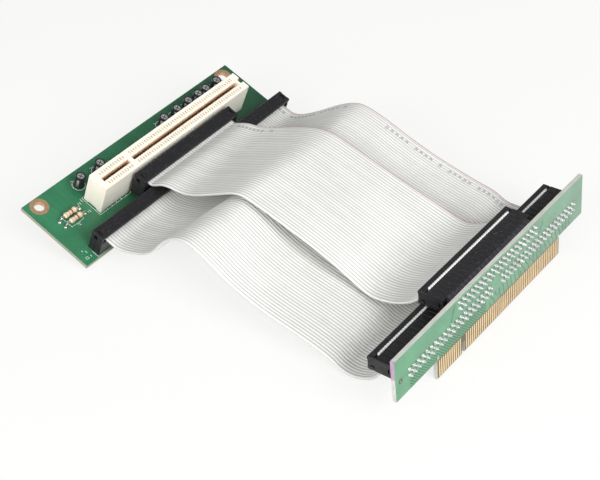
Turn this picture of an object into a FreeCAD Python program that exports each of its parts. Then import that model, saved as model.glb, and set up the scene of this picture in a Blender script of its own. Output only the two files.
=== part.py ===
import FreeCAD, Part
import math
import os

import Sketcher
from FreeCAD import Placement, Rotation, Vector

# A conventional PCI riser: a board with a 32-bit slot, a board with the matching card edge, and three
# flat 40-way ribbon cables between them, each clamped in an insulation-displacement socket at both ends.
#
# The model's origin is the centre of the card edge's key notch, at the finger edge and in the middle of
# the board's thickness. +Z is up from the table, +X runs through the edge-card board away from the slot
# board, and +Y runs along both boards. Lengths are millimetres and angles are degrees.
#
# Each board has a frame of its own in which its pieces are drawn:
#   slot board   x across it (0 at the front edge, the back edge at -width), y along it, z off its top
#   edge card    x off its outer face (the inner face at -thickness), y along it, z up from the fingers
# Each connector is drawn about the middle of its footprint: x towards the side where its ribbon leaves,
# y along it, z off the board that it stands on.

SIZES = {
    # Both boards
    "board_thickness": 1.6,
    "contact_pitch": 1.27,
    "plating": 0.05,
    # Slot board
    "slot_board_length": 120.0,
    "slot_board_width": 35.0,
    "slot_board_tilt": 23.0,
    "slot_board_front": -138.7,
    "slot_board_start": -42.0,
    "mounting_hole_radius": 2.1,
    "mounting_ring_radius": 3.8,
    "mounting_hole_end_inset": 5.7,
    "mounting_hole_back_inset": 3.9,
    # Slot housing, its contacts and its card slot
    "housing_gap": 1.2,
    "slot_first_contact": 25.4,
    "short_contacts": 11,
    "long_contacts": 49,
    "key_gap": 3.81,
    "housing_end_wall": 3.69,
    "housing_width": 9.0,
    "housing_top": 14.8,
    "housing_stand": 0.4,
    "housing_foot": 2.4,
    "card_slot_width": 1.8,
    "card_slot_depth": 9.0,
    "card_slot_overrun": 1.3,
    "key_rib_width": 1.7,
    "mouth_width": 2.6,
    "mouth_depth": 0.5,
    "chamber_offset": 2.6,
    "chamber_length": 1.3,
    "chamber_width": 0.6,
    "chamber_depth": 1.6,
    "end_notch_width": 2.4,
    "end_notch_reach": 1.5,
    "end_notch_depth": 6.0,
    "contact_width": 0.6,
    "contact_thickness": 0.25,
    "contact_top_gap": 1.8,
    "slot_tail_inner": 1.27,
    "slot_tail_outer": 3.81,
    # Solder tails: each a tapered fillet of solder round the end of its lead
    "tail_base": 1.3,
    "slot_tail_base": 1.1,
    "tail_length": 1.8,
    "tail_taper": 10.0,
    # Ribbon connectors
    "pin_pitch": 2.54,
    "pin_columns": 20,
    "header_width": 5.08,
    "header_notch_width": 0.9,
    "header_notch_depth": 0.5,
    "low_stand": 0.5,
    "tall_stand": 4.0,
    "card_stand": 2.5,
    "socket_length": 55.4,
    "socket_width": 5.6,
    "socket_height": 6.8,
    "socket_foot": 1.6,
    "channel_width": 2.6,
    "channel_reach": 1.9,
    "channel_floor": 1.2,
    "cap_height": 2.4,
    "cap_lip_radius": 1.4,
    "cap_chamfer": 0.3,
    "latch_width": 2.2,
    "latch_thickness": 0.7,
    "latch_clearance": 0.1,
    "latch_top_gap": 0.7,
    "groove_width": 0.9,
    "groove_depth": 0.2,
    "groove_margin": 0.9,
    # Places of the connectors on the slot board
    "front_socket_inset": 3.3,
    "slot_row_gap": 1.2,
    "near_socket_start": 6.8,
    "middle_socket_start": 36.6,
    "socket_gap": 1.2,
    # Ribbons
    "ribbon_width": 50.8,
    "ribbon_thickness": 0.9,
    # Edge-card board
    "card_length": 120.0,
    "card_height": 26.1,
    "card_lean": 2.5,
    "tab_height": 8.7,
    "tab_margin": 1.19,
    "card_first_contact": 24.79,
    "key_notch_width": 1.9,
    "key_notch_top": 5.3,
    "edge_bevel_height": 0.9,
    "edge_bevel_depth": 0.4,
    "finger_width": 0.95,
    "finger_bottom": 0.95,
    "finger_top": 8.2,
    "card_near_socket_start": 4.2,
    "card_middle_socket_start": 34.0,
    "card_lower_socket_height": 16.4,
    "card_row_clearance": 0.1,
    "tooling_hole_radius": 0.5,
    "tooling_hole_end_inset": 2.9,
    "tooling_hole_height": 16.0,
    # Radial capacitors
    "capacitor_back_inset": 6.0,
    "capacitor_radius": 2.0,
    "capacitor_height": 5.8,
    "sleeve_wall": 0.25,
    "sleeve_lip": 0.3,
    "sleeve_crimp_height": 0.9,
    "sleeve_crimp_width": 0.5,
    "sleeve_crimp_depth": 0.13,
    "capacitor_lead_pitch": 1.6,
    # Axial resistors
    "resistor_length": 6.3,
    "resistor_end_radius": 1.15,
    "resistor_waist_radius": 0.95,
    "resistor_end_length": 1.5,
    "resistor_axis_height": 1.9,
    "resistor_lead_pitch": 10.3,
    "resistor_lead_radius": 0.28,
    "resistor_lead_bend": 0.8,
    "resistor_centre": 11.75,
    "rear_resistor_inset": 20.9,
    "front_resistor_inset": 17.8,
}

# Distance of each capacitor from the slot board's near end
CAPACITOR_PLACES = (24.9, 35.6, 73.1, 81.0, 87.9, 94.0, 98.9, 105.8)

# Each ribbon leaves its first socket straight, turns after the distance "leaves", follows the bends of
# its two long edges, given as (x, z) in the model's frame, and turns for the last time at the distance
# "arrives" before its second socket. The middle one passes over the lower sockets of the edge card and
# turns up into its own from the gap between them.
RIBBONS = {
    "near": {
        "leaves": 6.4,
        "arrives": 5.0,
        "near_edge": [(-116, 11.4), (-99.5, 27.2), (-89.5, 27.6), (-69.8, 13.8), (-41.2, 8.6),
                      (-24, 0.1), (-15.9, 1.6)],
        "far_edge": [(-117, 11.2), (-100.5, 24.4), (-90, 25.1), (-70.5, 14.2), (-42, 8.8),
                     (-24, 0.1), (-15.9, 1.6)],
    },
    "middle": {
        "leaves": 3.0,
        "arrives": 0.0,
        "near_edge": [(-129, 17.3), (-119.5, 18.5), (-100.5, 28), (-89, 28.3), (-56, 18.8),
                      (-37.5, 9.6), (-26, 11.3), (-19.5, 14.9)],
        "far_edge": [(-129, 17.8), (-119.5, 20.2), (-98, 28.6), (-88.5, 29.6), (-57, 20),
                     (-35.5, 12.2), (-25.5, 12.9), (-19.5, 15.6)],
    },
    "far": {
        "leaves": 6.4,
        "arrives": 2.5,
        "near_edge": [(-120, 11.2), (-101, 24), (-90, 24.8), (-66, 14.4), (-39, 8.4),
                      (-20.5, 3.6), (-14.6, 5.6)],
        "far_edge": [(-121, 11.6), (-100.5, 25.2), (-90.5, 25.8), (-64.5, 15.2), (-38, 8.9),
                     (-19.4, 4.8), (-14.1, 6.4)],
    },
}
BEND_SHARE = 0.45
# How far outside the caps the middle ribbon turns level to pass between them
MOUTH_REACH = 1.3

doc = FreeCAD.newDocument("pci_riser")
sheet = doc.addObject("Spreadsheet::Sheet", "Sizes")
for line, (alias, number) in enumerate(SIZES.items(), start=1):
    sheet.set(f"A{line}", alias)
    sheet.set(f"B{line}", str(number))
    sheet.setAlias(f"B{line}", alias)
doc.recompute()

PIECES = []


# ---- drawing helpers ---------------------------------------------------------------------------

def value(expression):
    """The number that an expression over the sheet's sizes gives."""
    return float(sheet.evalExpression(expression))


def size(alias):
    return value(f"Sizes.{alias}")


def new_body(label, frame, compound=False):
    """An empty body of its own label, at its place."""
    body = doc.addObject("PartDesign::Body", label)
    body.Label = label
    body.AllowCompound = compound
    body.Placement = frame
    PIECES.append(body)
    return body


def new_shape(label, shape, frame=Placement()):
    """A piece whose shape is made directly from its sizes."""
    piece = doc.addObject("Part::Feature", label)
    piece.Label = label
    piece.Shape = shape
    piece.Placement = frame
    PIECES.append(piece)
    return piece


def origin_feature(body, role):
    return next(item for item in body.Origin.OriginFeatures if item.Role == role)


def new_sketch(body, plane="XY_Plane", offset="0"):
    """A sketch on one of the body's origin planes, raised along the plane's normal."""
    sketch = body.newObject("Sketcher::SketchObject", "Sketch")
    sketch.AttachmentSupport = [(origin_feature(body, plane), "")]
    sketch.MapMode = "FlatFace"
    sketch.setExpression("AttachmentOffset.Base.z", offset)
    return sketch


def place_point(sketch, geometry, point, across, up):
    """Hold one point of a sketch at the distances that two expressions give."""
    for kind, expression, axis in (("DistanceX", across, -2), ("DistanceY", up, -1)):
        distance = value(expression)
        if abs(distance) < 1e-9:
            sketch.addConstraint(Sketcher.Constraint("PointOnObject", geometry, point, axis))
            continue
        constraint = Sketcher.Constraint(kind, -1, 1, geometry, point, distance)
        index = sketch.addConstraint(constraint)
        sketch.setExpression(f"Constraints[{index}]", expression)


def outline(sketch, corners):
    """A closed outline through corners, each a pair of expressions."""
    points = [Vector(value(across), value(up), 0) for across, up in corners]
    first = sketch.GeometryCount
    count = len(points)
    for step in range(count):
        sketch.addGeometry(Part.LineSegment(points[step], points[(step + 1) % count]), False)
    for step in range(count):
        following = first + (step + 1) % count
        sketch.addConstraint(Sketcher.Constraint("Coincident", first + step, 2, following, 1))
    for step, (across, up) in enumerate(corners):
        place_point(sketch, first + step, 1, across, up)


def rectangle(sketch, left, bottom, right, top):
    outline(sketch, [(left, bottom), (right, bottom), (right, top), (left, top)])


def circle(sketch, across, up, radius):
    centre = Vector(value(across), value(up), 0)
    geometry = sketch.addGeometry(Part.Circle(centre, Vector(0, 0, 1), value(radius)), False)
    place_point(sketch, geometry, 3, across, up)
    index = sketch.addConstraint(Sketcher.Constraint("Radius", geometry, value(radius)))
    sketch.setExpression(f"Constraints[{index}]", radius)


def pad(body, sketch, length, downward=False):
    feature = body.newObject("PartDesign::Pad", "Pad")
    feature.Profile = sketch
    feature.setExpression("Length", length)
    feature.Reversed = downward
    return feature


def pocket(body, sketch, depth=None):
    """A cut below its sketch, or right through both ways where no depth is given."""
    before = body.Shape.Volume
    feature = body.newObject("PartDesign::Pocket", "Pocket")
    feature.Profile = sketch
    if depth:
        feature.setExpression("Length", depth)
    else:
        feature.Type = "ThroughAll"
        feature.Midplane = True
    doc.recompute()
    if not body.Shape.Volume < before - 1e-6:
        raise RuntimeError(f"{body.Label}: {feature.Name} cuts nothing")
    return feature


def repeat(body, features, spacing, count, axis="Y_Axis"):
    """The features repeated along an axis of the body."""
    doc.recompute()
    pattern = body.newObject("PartDesign::LinearPattern", "Pattern")
    pattern.Originals = features
    pattern.Direction = (origin_feature(body, axis), [""])
    pattern.Mode = "Spacing"
    pattern.setExpression("Offset", spacing)
    pattern.setExpression("Occurrences", count)
    body.Tip = pattern
    doc.recompute()
    return pattern


def revolve(body, sketch):
    feature = body.newObject("PartDesign::Revolution", "Revolution")
    feature.Profile = sketch
    feature.ReferenceAxis = (sketch, ["V_Axis"])
    feature.Angle = 360
    return feature


def edges_where(feature, test):
    """Names of the straight edges whose middle passes the test."""
    names = []
    for number, edge in enumerate(feature.Shape.Edges, start=1):
        if test(edge.BoundBox):
            names.append(f"Edge{number}")
    return names


# ---- frames ------------------------------------------------------------------------------------

def slot_board_frame():
    """The slot board leans down on the tips of its front row of solder tails."""
    tilt = math.radians(size("slot_board_tilt"))
    tip = size("tail_base") / 2 - size("tail_length") * math.tan(math.radians(size("tail_taper")))
    tip_inset = size("front_socket_inset") - size("pin_pitch") / 2 - tip
    reach = size("board_thickness") + size("tail_length")
    height = reach * math.cos(tilt) - tip_inset * math.sin(tilt)
    base = Vector(size("slot_board_front"), size("slot_board_start"), height)
    return Placement(base, Rotation(Vector(0, 1, 0), size("slot_board_tilt")))


def edge_card_frame():
    """The edge card stands on its finger edge and leans back; the origin is in its key notch."""
    rotation = Rotation(Vector(0, 1, 0), -size("card_lean"))
    key = Vector(-size("board_thickness") / 2, value(KEY_CENTRE), 0)
    flat = size("board_thickness") / 2 - size("edge_bevel_depth")
    lift = flat * math.sin(math.radians(size("card_lean")))
    return Placement(Vector(0, 0, lift) - rotation.multVec(key), rotation)


SLOT_LONG_START = (
    "Sizes.slot_first_contact + (Sizes.short_contacts - 1) * Sizes.contact_pitch + Sizes.key_gap"
)
SLOT_LAST_CONTACT = f"{SLOT_LONG_START} + (Sizes.long_contacts - 1) * Sizes.contact_pitch"
CARD_SHORT_END = "Sizes.card_first_contact + (Sizes.short_contacts - 1) * Sizes.contact_pitch"
KEY_CENTRE = f"{CARD_SHORT_END} + Sizes.key_gap / 2"
CARD_LONG_START = f"{CARD_SHORT_END} + Sizes.key_gap"
CARD_LAST_CONTACT = f"{CARD_LONG_START} + (Sizes.long_contacts - 1) * Sizes.contact_pitch"

SLOT_FRAME = slot_board_frame()
CARD_FRAME = edge_card_frame()
# On the edge card a connector's ribbon side looks down and its cap faces the slot board
CARD_CONNECTOR_TURN = Rotation(Vector(0, 0, -1), Vector(0, -1, 0), Vector(-1, 0, 0), "XYZ")


# On the slot board the rear row of connectors stands behind the front row, with the card slot behind
# both. On the edge card there is just room for a ribbon between the lower row and the upper one.
FRONT_ROW = "Sizes.front_socket_inset"
REAR_ROW = f"{FRONT_ROW} + Sizes.socket_width + Sizes.slot_row_gap"
SLOT_ACROSS = f"-({REAR_ROW} + (Sizes.socket_width + Sizes.housing_width) / 2 + Sizes.housing_gap)"
LOWER_ROW = "Sizes.card_lower_socket_height"
UPPER_ROW = f"{LOWER_ROW} + Sizes.socket_width + Sizes.ribbon_thickness + 2 * Sizes.card_row_clearance"


def on_slot_board(row, start):
    """Frame of a connector whose footprint starts at a distance along the slot board."""
    centre = size(start) + size("socket_length") / 2
    return SLOT_FRAME * Placement(Vector(-value(row), centre, 0), Rotation())


def on_edge_card(row, start):
    centre = size(start) + size("socket_length") / 2
    base = Vector(-size("board_thickness"), centre, value(row))
    return CARD_FRAME * Placement(base, CARD_CONNECTOR_TURN)


def along_board(frame, distance):
    return frame * Placement(Vector(0, distance, 0), Rotation())


# ---- slot board --------------------------------------------------------------------------------

HOLE_ACROSS = "Sizes.mounting_hole_back_inset - Sizes.slot_board_width"
NEAR_HOLE = "Sizes.mounting_hole_end_inset"
FAR_HOLE = "Sizes.slot_board_length - Sizes.mounting_hole_end_inset"


def slot_board():
    """The green board, with one plated mounting hole at each end of its back edge."""
    body = new_body("slot_board", SLOT_FRAME)
    face = new_sketch(body)
    rectangle(face, "-Sizes.slot_board_width", "0", "0", "Sizes.slot_board_length")
    pad(body, face, "Sizes.board_thickness", downward=True)
    doc.recompute()
    holes = new_sketch(body)
    for hole in (NEAR_HOLE, FAR_HOLE):
        circle(holes, HOLE_ACROSS, hole, "Sizes.mounting_hole_radius + Sizes.plating")
    pocket(body, holes)


def mounting_ring(label, distance):
    """The copper eyelet of a mounting hole: a barrel through the board with a pad on both faces."""
    place = Placement(Vector(value(HOLE_ACROSS), value(distance), 0), Rotation())
    body = new_body(label, SLOT_FRAME * place)
    section = new_sketch(body, "XZ_Plane")
    bore = "Sizes.mounting_hole_radius"
    barrel = "Sizes.mounting_hole_radius + Sizes.plating"
    rim = "Sizes.mounting_ring_radius"
    top = "Sizes.plating"
    under = "-Sizes.board_thickness"
    bottom = "-Sizes.board_thickness - Sizes.plating"
    outline(section, [
        (bore, bottom), (rim, bottom), (rim, under), (barrel, under),
        (barrel, "0"), (rim, "0"), (rim, top), (bore, top),
    ])
    revolve(body, section)


# ---- card slot ---------------------------------------------------------------------------------

HOUSING_START = "Sizes.slot_first_contact - Sizes.housing_end_wall"
HOUSING_END = f"{SLOT_LAST_CONTACT} + Sizes.housing_end_wall"


def slot_sections():
    """Ends of the card slot's short and long openings, either side of the key rib."""
    key = "Sizes.slot_first_contact + (Sizes.short_contacts - 1) * Sizes.contact_pitch + Sizes.key_gap / 2"
    return (
        ("Sizes.slot_first_contact - Sizes.card_slot_overrun", f"{key} - Sizes.key_rib_width / 2"),
        (f"{key} + Sizes.key_rib_width / 2", f"{SLOT_LAST_CONTACT} + Sizes.card_slot_overrun"),
    )


def slot_openings(body, width, depth):
    """Cut both openings of the card slot from the housing's top."""
    openings = new_sketch(body, offset="Sizes.housing_top")
    for start, end in slot_sections():
        rectangle(openings, f"{SLOT_ACROSS} - {width} / 2", start, f"{SLOT_ACROSS} + {width} / 2", end)
    pocket(body, openings, depth)


def slot_housing():
    """The moulded slot: a card opening with its key rib, a contact chamber beside every contact,
    an end notch for the card's bracket end and a foot at each corner that holds it off the board."""
    body = new_body("slot_housing", SLOT_FRAME)
    half = "Sizes.housing_width / 2"
    left = f"{SLOT_ACROSS} - {half}"
    right = f"{SLOT_ACROSS} + {half}"
    block = new_sketch(body, offset="Sizes.housing_stand")
    rectangle(block, left, HOUSING_START, right, HOUSING_END)
    pad(body, block, "Sizes.housing_top - Sizes.housing_stand")
    feet = new_sketch(body)
    for side in (left, f"{right} - Sizes.housing_foot"):
        for end in (HOUSING_START, f"{HOUSING_END} - Sizes.housing_foot"):
            rectangle(feet, side, end, f"{side} + Sizes.housing_foot", f"{end} + Sizes.housing_foot")
    pad(body, feet, "Sizes.housing_stand")
    doc.recompute()
    slot_openings(body, "Sizes.card_slot_width", "Sizes.card_slot_depth")
    slot_openings(body, "Sizes.mouth_width", "Sizes.mouth_depth")
    notch = new_sketch(body, offset="Sizes.housing_top")
    notch_half = "Sizes.end_notch_width / 2"
    rectangle(notch, f"{SLOT_ACROSS} - {notch_half}", f"{HOUSING_END} - Sizes.end_notch_reach",
              f"{SLOT_ACROSS} + {notch_half}", HOUSING_END)
    pocket(body, notch, "Sizes.end_notch_depth")
    for start, count in (
        ("Sizes.slot_first_contact", "Sizes.short_contacts"),
        (SLOT_LONG_START, "Sizes.long_contacts"),
    ):
        chambers = new_sketch(body, offset="Sizes.housing_top")
        for side in ("-", "+"):
            middle = f"{SLOT_ACROSS} {side} Sizes.chamber_offset"
            rectangle(chambers, f"{middle} - Sizes.chamber_length / 2", f"{start} - Sizes.chamber_width / 2",
                      f"{middle} + Sizes.chamber_length / 2", f"{start} + Sizes.chamber_width / 2")
        repeat(body, [pocket(body, chambers, "Sizes.chamber_depth")], "Sizes.contact_pitch", count)


def slot_contacts():
    """One spring contact on each wall of the card slot at every position."""
    body = new_body("slot_contacts", SLOT_FRAME, compound=True)
    floor = "Sizes.housing_top - Sizes.card_slot_depth"
    length = "Sizes.card_slot_depth - Sizes.contact_top_gap"
    wall = "Sizes.card_slot_width / 2"
    for start, count in (
        ("Sizes.slot_first_contact", "Sizes.short_contacts"),
        (SLOT_LONG_START, "Sizes.long_contacts"),
    ):
        pair = new_sketch(body, offset=floor)
        low = f"{start} - Sizes.contact_width / 2"
        high = f"{start} + Sizes.contact_width / 2"
        rectangle(pair, f"{SLOT_ACROSS} - {wall}", low,
                  f"{SLOT_ACROSS} - {wall} + Sizes.contact_thickness", high)
        rectangle(pair, f"{SLOT_ACROSS} + {wall} - Sizes.contact_thickness", low,
                  f"{SLOT_ACROSS} + {wall}", high)
        repeat(body, [pad(body, pair, length)], "Sizes.contact_pitch", count)


# ---- solder tails ------------------------------------------------------------------------------

TAIL_SHRINK = "Sizes.tail_length * tan(Sizes.tail_taper * 1 deg)"


def new_tail(body, place, base):
    """A square tail that tapers away from the board's solder side."""
    tail = body.newObject("PartDesign::AdditiveWedge", "Tail")
    tail.setExpression("Ymin", "0")
    tail.setExpression("Ymax", "Sizes.tail_length")
    for axis in ("X", "Z"):
        tail.setExpression(f"{axis}min", f"-{base} / 2")
        tail.setExpression(f"{axis}max", f"{base} / 2")
        tail.setExpression(f"{axis}2min", f"{TAIL_SHRINK} - {base} / 2")
        tail.setExpression(f"{axis}2max", f"{base} / 2 - {TAIL_SHRINK}")
    tail.Placement = Placement(Vector(), Rotation(Vector(1, 0, 0), -90))
    tail.setExpression("Placement.Base.x", place[0])
    tail.setExpression("Placement.Base.y", place[1])
    tail.setExpression("Placement.Base.z", "-Sizes.board_thickness")
    return tail


def new_tails(body, places, base):
    return [new_tail(body, place, base) for place in places]


def slot_solder_tails():
    """The slot's leads come through in four rows: neighbours alternate between the inner and the
    outer row of their side."""
    body = new_body("slot_solder_tails", SLOT_FRAME, compound=True)
    for start, count in (
        ("Sizes.slot_first_contact", "Sizes.short_contacts"),
        (SLOT_LONG_START, "Sizes.long_contacts"),
    ):
        rows = (
            ("Sizes.slot_tail_outer", start, f"ceil({count} / 2)"),
            ("Sizes.slot_tail_inner", f"{start} + Sizes.contact_pitch", f"floor({count} / 2)"),
        )
        for offset, first, repeats in rows:
            places = [(f"{SLOT_ACROSS} {side} {offset}", first) for side in ("-", "+")]
            tails = new_tails(body, places, "Sizes.slot_tail_base")
            repeat(body, tails, "2 * Sizes.contact_pitch", repeats)


def connector_solder_tails(label, frame):
    """Two rows of twenty tails under one ribbon connector."""
    body = new_body(label, frame, compound=True)
    first = "-(Sizes.pin_columns - 1) / 2 * Sizes.pin_pitch"
    places = [("-Sizes.pin_pitch / 2", first), ("Sizes.pin_pitch / 2", first)]
    repeat(body, new_tails(body, places, "Sizes.tail_base"), "Sizes.pin_pitch", "Sizes.pin_columns")


def small_part_tails():
    """The tails of the capacitors and the resistors."""
    body = new_body("small_part_solder_tails", SLOT_FRAME, compound=True)
    across = "Sizes.capacitor_back_inset - Sizes.slot_board_width"
    half = "Sizes.capacitor_lead_pitch / 2"
    places = [(f"{across} {side} {half}", str(along)) for along in CAPACITOR_PLACES for side in "-+"]
    span = "Sizes.resistor_lead_pitch / 2"
    for inset in ("Sizes.rear_resistor_inset", "Sizes.front_resistor_inset"):
        places += [(f"-{inset}", f"Sizes.resistor_centre {side} {span}") for side in "-+"]
    new_tails(body, places, "Sizes.slot_tail_base")


# ---- ribbon connectors -------------------------------------------------------------------------

def pin_header(label, frame, stand):
    """The header's insulator: a strip of square blocks, one for each pair of pins, with a V notch
    between neighbours on both sides."""
    body = new_body(label, frame)
    half_width = "Sizes.header_width / 2"
    half_length = "Sizes.pin_columns * Sizes.pin_pitch / 2"
    strip = new_sketch(body)
    rectangle(strip, f"-{half_width}", f"-{half_length}", half_width, half_length)
    pad(body, strip, stand)
    doc.recompute()
    notches = new_sketch(body, offset=stand)
    first = f"Sizes.pin_pitch - {half_length}"
    for edge, inward in ((f"-{half_width}", "+"), (half_width, "-")):
        outline(notches, [
            (edge, f"{first} - Sizes.header_notch_width / 2"),
            (f"{edge} {inward} Sizes.header_notch_depth", first),
            (edge, f"{first} + Sizes.header_notch_width / 2"),
        ])
    repeat(body, [pocket(body, notches, stand)], "Sizes.pin_pitch", "Sizes.pin_columns - 1")


HALF_SOCKET = "Sizes.socket_length / 2"
HALF_SOCKET_WIDTH = "Sizes.socket_width / 2"
CHANNEL_WALL = "Sizes.socket_length / 2 - Sizes.channel_reach"


def end_cuts(sketch, half_width, wall):
    """An open-ended cut at both ends of a connector."""
    rectangle(sketch, f"-{half_width}", wall, half_width, HALF_SOCKET)
    rectangle(sketch, f"-{half_width}", f"-{HALF_SOCKET}", half_width, f"-({wall})")


def socket_body(label, frame, stand, footed):
    """The socket's body: a bar with a latch channel down both ends and grooves along its back. The low
    ones stand on three feet of their own, and the others sit on a pin header."""
    body = new_body(label, frame)
    bar = new_sketch(body, offset=stand)
    rectangle(bar, f"-{HALF_SOCKET_WIDTH}", f"-{HALF_SOCKET}", HALF_SOCKET_WIDTH, HALF_SOCKET)
    pad(body, bar, "Sizes.socket_height")
    if footed:
        feet = new_sketch(body)
        for start in (f"-{HALF_SOCKET}", "-Sizes.socket_foot / 2", f"{HALF_SOCKET} - Sizes.socket_foot"):
            rectangle(feet, f"-{HALF_SOCKET_WIDTH}", start,
                      HALF_SOCKET_WIDTH, f"{start} + Sizes.socket_foot")
        pad(body, feet, stand)
    doc.recompute()
    channels = new_sketch(body, offset=f"{stand} + Sizes.socket_height")
    end_cuts(channels, "Sizes.channel_width / 2", CHANNEL_WALL)
    pocket(body, channels, "Sizes.socket_height - Sizes.channel_floor")
    side_grooves(body, stand)


def side_grooves(body, stand):
    """A shallow moulded groove beside every pair of contacts, on the side away from the ribbon."""
    groove = new_sketch(body, "YZ_Plane", offset=f"Sizes.groove_depth - {HALF_SOCKET_WIDTH}")
    first = "-(Sizes.pin_columns - 1) / 2 * Sizes.pin_pitch"
    rectangle(groove, f"{first} - Sizes.groove_width / 2", f"{stand} + Sizes.groove_margin",
              f"{first} + Sizes.groove_width / 2", f"{stand} + Sizes.socket_height - Sizes.groove_margin")
    repeat(body, [pocket(body, groove, "Sizes.groove_depth")], "Sizes.pin_pitch", "Sizes.pin_columns")


def socket_cap(label, frame, stand):
    """The cap that presses the ribbon onto the contacts. A U notch at each end leaves two horns, and
    a latch arm runs from each notch down the body's channel. The lower edge on the ribbon's side is
    rounded, so that the ribbon can turn there."""
    body = new_body(label, frame)
    underside = f"{stand} + Sizes.socket_height + Sizes.ribbon_thickness"
    top = f"{underside} + Sizes.cap_height"
    notch_wall = f"{CHANNEL_WALL} + Sizes.latch_clearance"
    bar = new_sketch(body, offset=underside)
    rectangle(bar, f"-{HALF_SOCKET_WIDTH}", f"-{HALF_SOCKET}", HALF_SOCKET_WIDTH, HALF_SOCKET)
    block = pad(body, bar, "Sizes.cap_height")
    doc.recompute()
    side = value(HALF_SOCKET_WIDTH)
    low = value(underside)
    high = value(top)

    def lip_edge(box):
        return box.YLength > 10 and abs(box.XMin - side) < 1e-4 and abs(box.ZMax - low) < 1e-4

    lip = body.newObject("PartDesign::Fillet", "Lip")
    lip.Base = (block, edges_where(block, lip_edge))
    lip.setExpression("Radius", "Sizes.cap_lip_radius")
    doc.recompute()

    def top_edge(box):
        return box.YLength > 10 and abs(abs(box.XMin) - side) < 1e-4 and abs(box.ZMin - high) < 1e-4

    rim = body.newObject("PartDesign::Chamfer", "Rim")
    rim.Base = (lip, edges_where(lip, top_edge))
    rim.setExpression("Size", "Sizes.cap_chamfer")
    doc.recompute()
    notches = new_sketch(body, offset=top)
    end_cuts(notches, "Sizes.channel_width / 2", notch_wall)
    pocket(body, notches, "Sizes.cap_height")
    floor = f"{stand} + Sizes.channel_floor + Sizes.latch_clearance"
    arms = new_sketch(body, offset=floor)
    arm_half = "Sizes.latch_width / 2"
    arm_face = f"{notch_wall} + Sizes.latch_thickness"
    rectangle(arms, f"-{arm_half}", notch_wall, arm_half, arm_face)
    rectangle(arms, f"-{arm_half}", f"-({arm_face})", arm_half, f"-({notch_wall})")
    pad(body, arms, f"{top} - Sizes.latch_top_gap - ({floor})")


def connector(name, frame, stand, header):
    """One whole ribbon connector, with its header where it has one."""
    if header:
        pin_header(f"{name}_header", frame, stand)
    socket_body(f"{name}_socket", frame, stand, footed=not header)
    socket_cap(f"{name}_cap", frame, stand)
    connector_solder_tails(f"{name}_solder_tails", frame)


# ---- ribbons -----------------------------------------------------------------------------------

def flat(vector):
    return (vector.x, vector.z)


def slit_run(frame, stand):
    """The ribbon's middle line through a socket: from its cut end to where it leaves."""
    height = size(stand) + size("socket_height") + size("ribbon_thickness") / 2
    side = size("socket_width") / 2
    cut = frame.multVec(Vector(-side, 0, height))
    leaves = frame.multVec(Vector(side, 0, height))
    return flat(cut), flat(leaves)


def mouth_run(frame, lower_frame):
    """Where the middle ribbon passes between the sockets of the edge card: the mouth of the gap and
    the corner where it turns up into its slit."""
    height = size("card_stand") + size("socket_height") + size("ribbon_thickness") / 2
    outside = height + size("ribbon_thickness") / 2 + size("cap_height") + MOUTH_REACH
    upper_side = frame.multVec(Vector(size("socket_width") / 2, 0, height))
    lower_side = lower_frame.multVec(Vector(-size("socket_width") / 2, 0, height))
    corner = (upper_side + lower_side) * 0.5
    outward = frame.Rotation.multVec(Vector(0, 0, 1))
    return flat(corner + outward * (outside - height)), flat(corner)


def minus(first, second):
    return (first[0] - second[0], first[1] - second[1])


def unit(vector):
    length = math.hypot(*vector)
    return (vector[0] / length, vector[1] / length)


def step_from(point, direction, distance):
    return (point[0] + direction[0] * distance, point[1] + direction[1] * distance)


def left_of(direction):
    return (-direction[1], direction[0])


def rounded_route(points):
    """The route's straight runs and tangent arcs, as (point, left-hand normal) pairs: two for a run
    and three for an arc."""
    pieces = []
    here = points[0]
    for before, corner, after in zip(points, points[1:], points[2:]):
        arriving = unit(minus(corner, before))
        leaving = unit(minus(after, corner))
        cross = arriving[0] * leaving[1] - arriving[1] * leaving[0]
        turn = math.atan2(cross, arriving[0] * leaving[0] + arriving[1] * leaving[1])
        shorter = min(math.dist(corner, before), math.dist(after, corner))
        tangent = BEND_SHARE * shorter
        radius = tangent / math.tan(abs(turn) / 2)
        start = step_from(corner, arriving, -tangent)
        end = step_from(corner, leaving, tangent)
        side = math.copysign(1, turn)
        inward = (left_of(arriving)[0] * side, left_of(arriving)[1] * side)
        centre = step_from(start, inward, radius)
        outward = unit(minus(corner, centre))
        middle = step_from(centre, outward, radius)
        pieces.append([(here, left_of(arriving)), (start, left_of(arriving))])
        middle_normal = (-outward[0] * side, -outward[1] * side)
        pieces.append([(start, left_of(arriving)), (middle, middle_normal), (end, left_of(leaving))])
        here = end
    last = left_of(unit(minus(points[-1], points[-2])))
    pieces.append([(here, last), (points[-1], last)])
    return pieces


def band_wire(pieces, thickness, y):
    """The closed section of a ribbon that follows the route, in the plane at y."""
    def offset(pair, side):
        point = step_from(pair[0], pair[1], side * thickness / 2)
        return Vector(point[0], y, point[1])

    def edge(points):
        if len(points) == 2:
            return Part.LineSegment(*points).toShape()
        return Part.Arc(*points).toShape()

    upper = [edge([offset(pair, 1) for pair in piece]) for piece in pieces]
    lower = [edge([offset(pair, -1) for pair in reversed(piece)]) for piece in reversed(pieces)]
    end_cut = edge([offset(pieces[-1][-1], 1), offset(pieces[-1][-1], -1)])
    start_cut = edge([offset(pieces[0][0], -1), offset(pieces[0][0], 1)])
    return Part.Wire(upper + [end_cut] + lower + [start_cut])


def slit_end(run):
    """The straight piece of a route that lies in a socket's slit."""
    normal = left_of(unit(minus(run[1], run[0])))
    return [(run[0], normal), (run[1], normal)]


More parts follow.
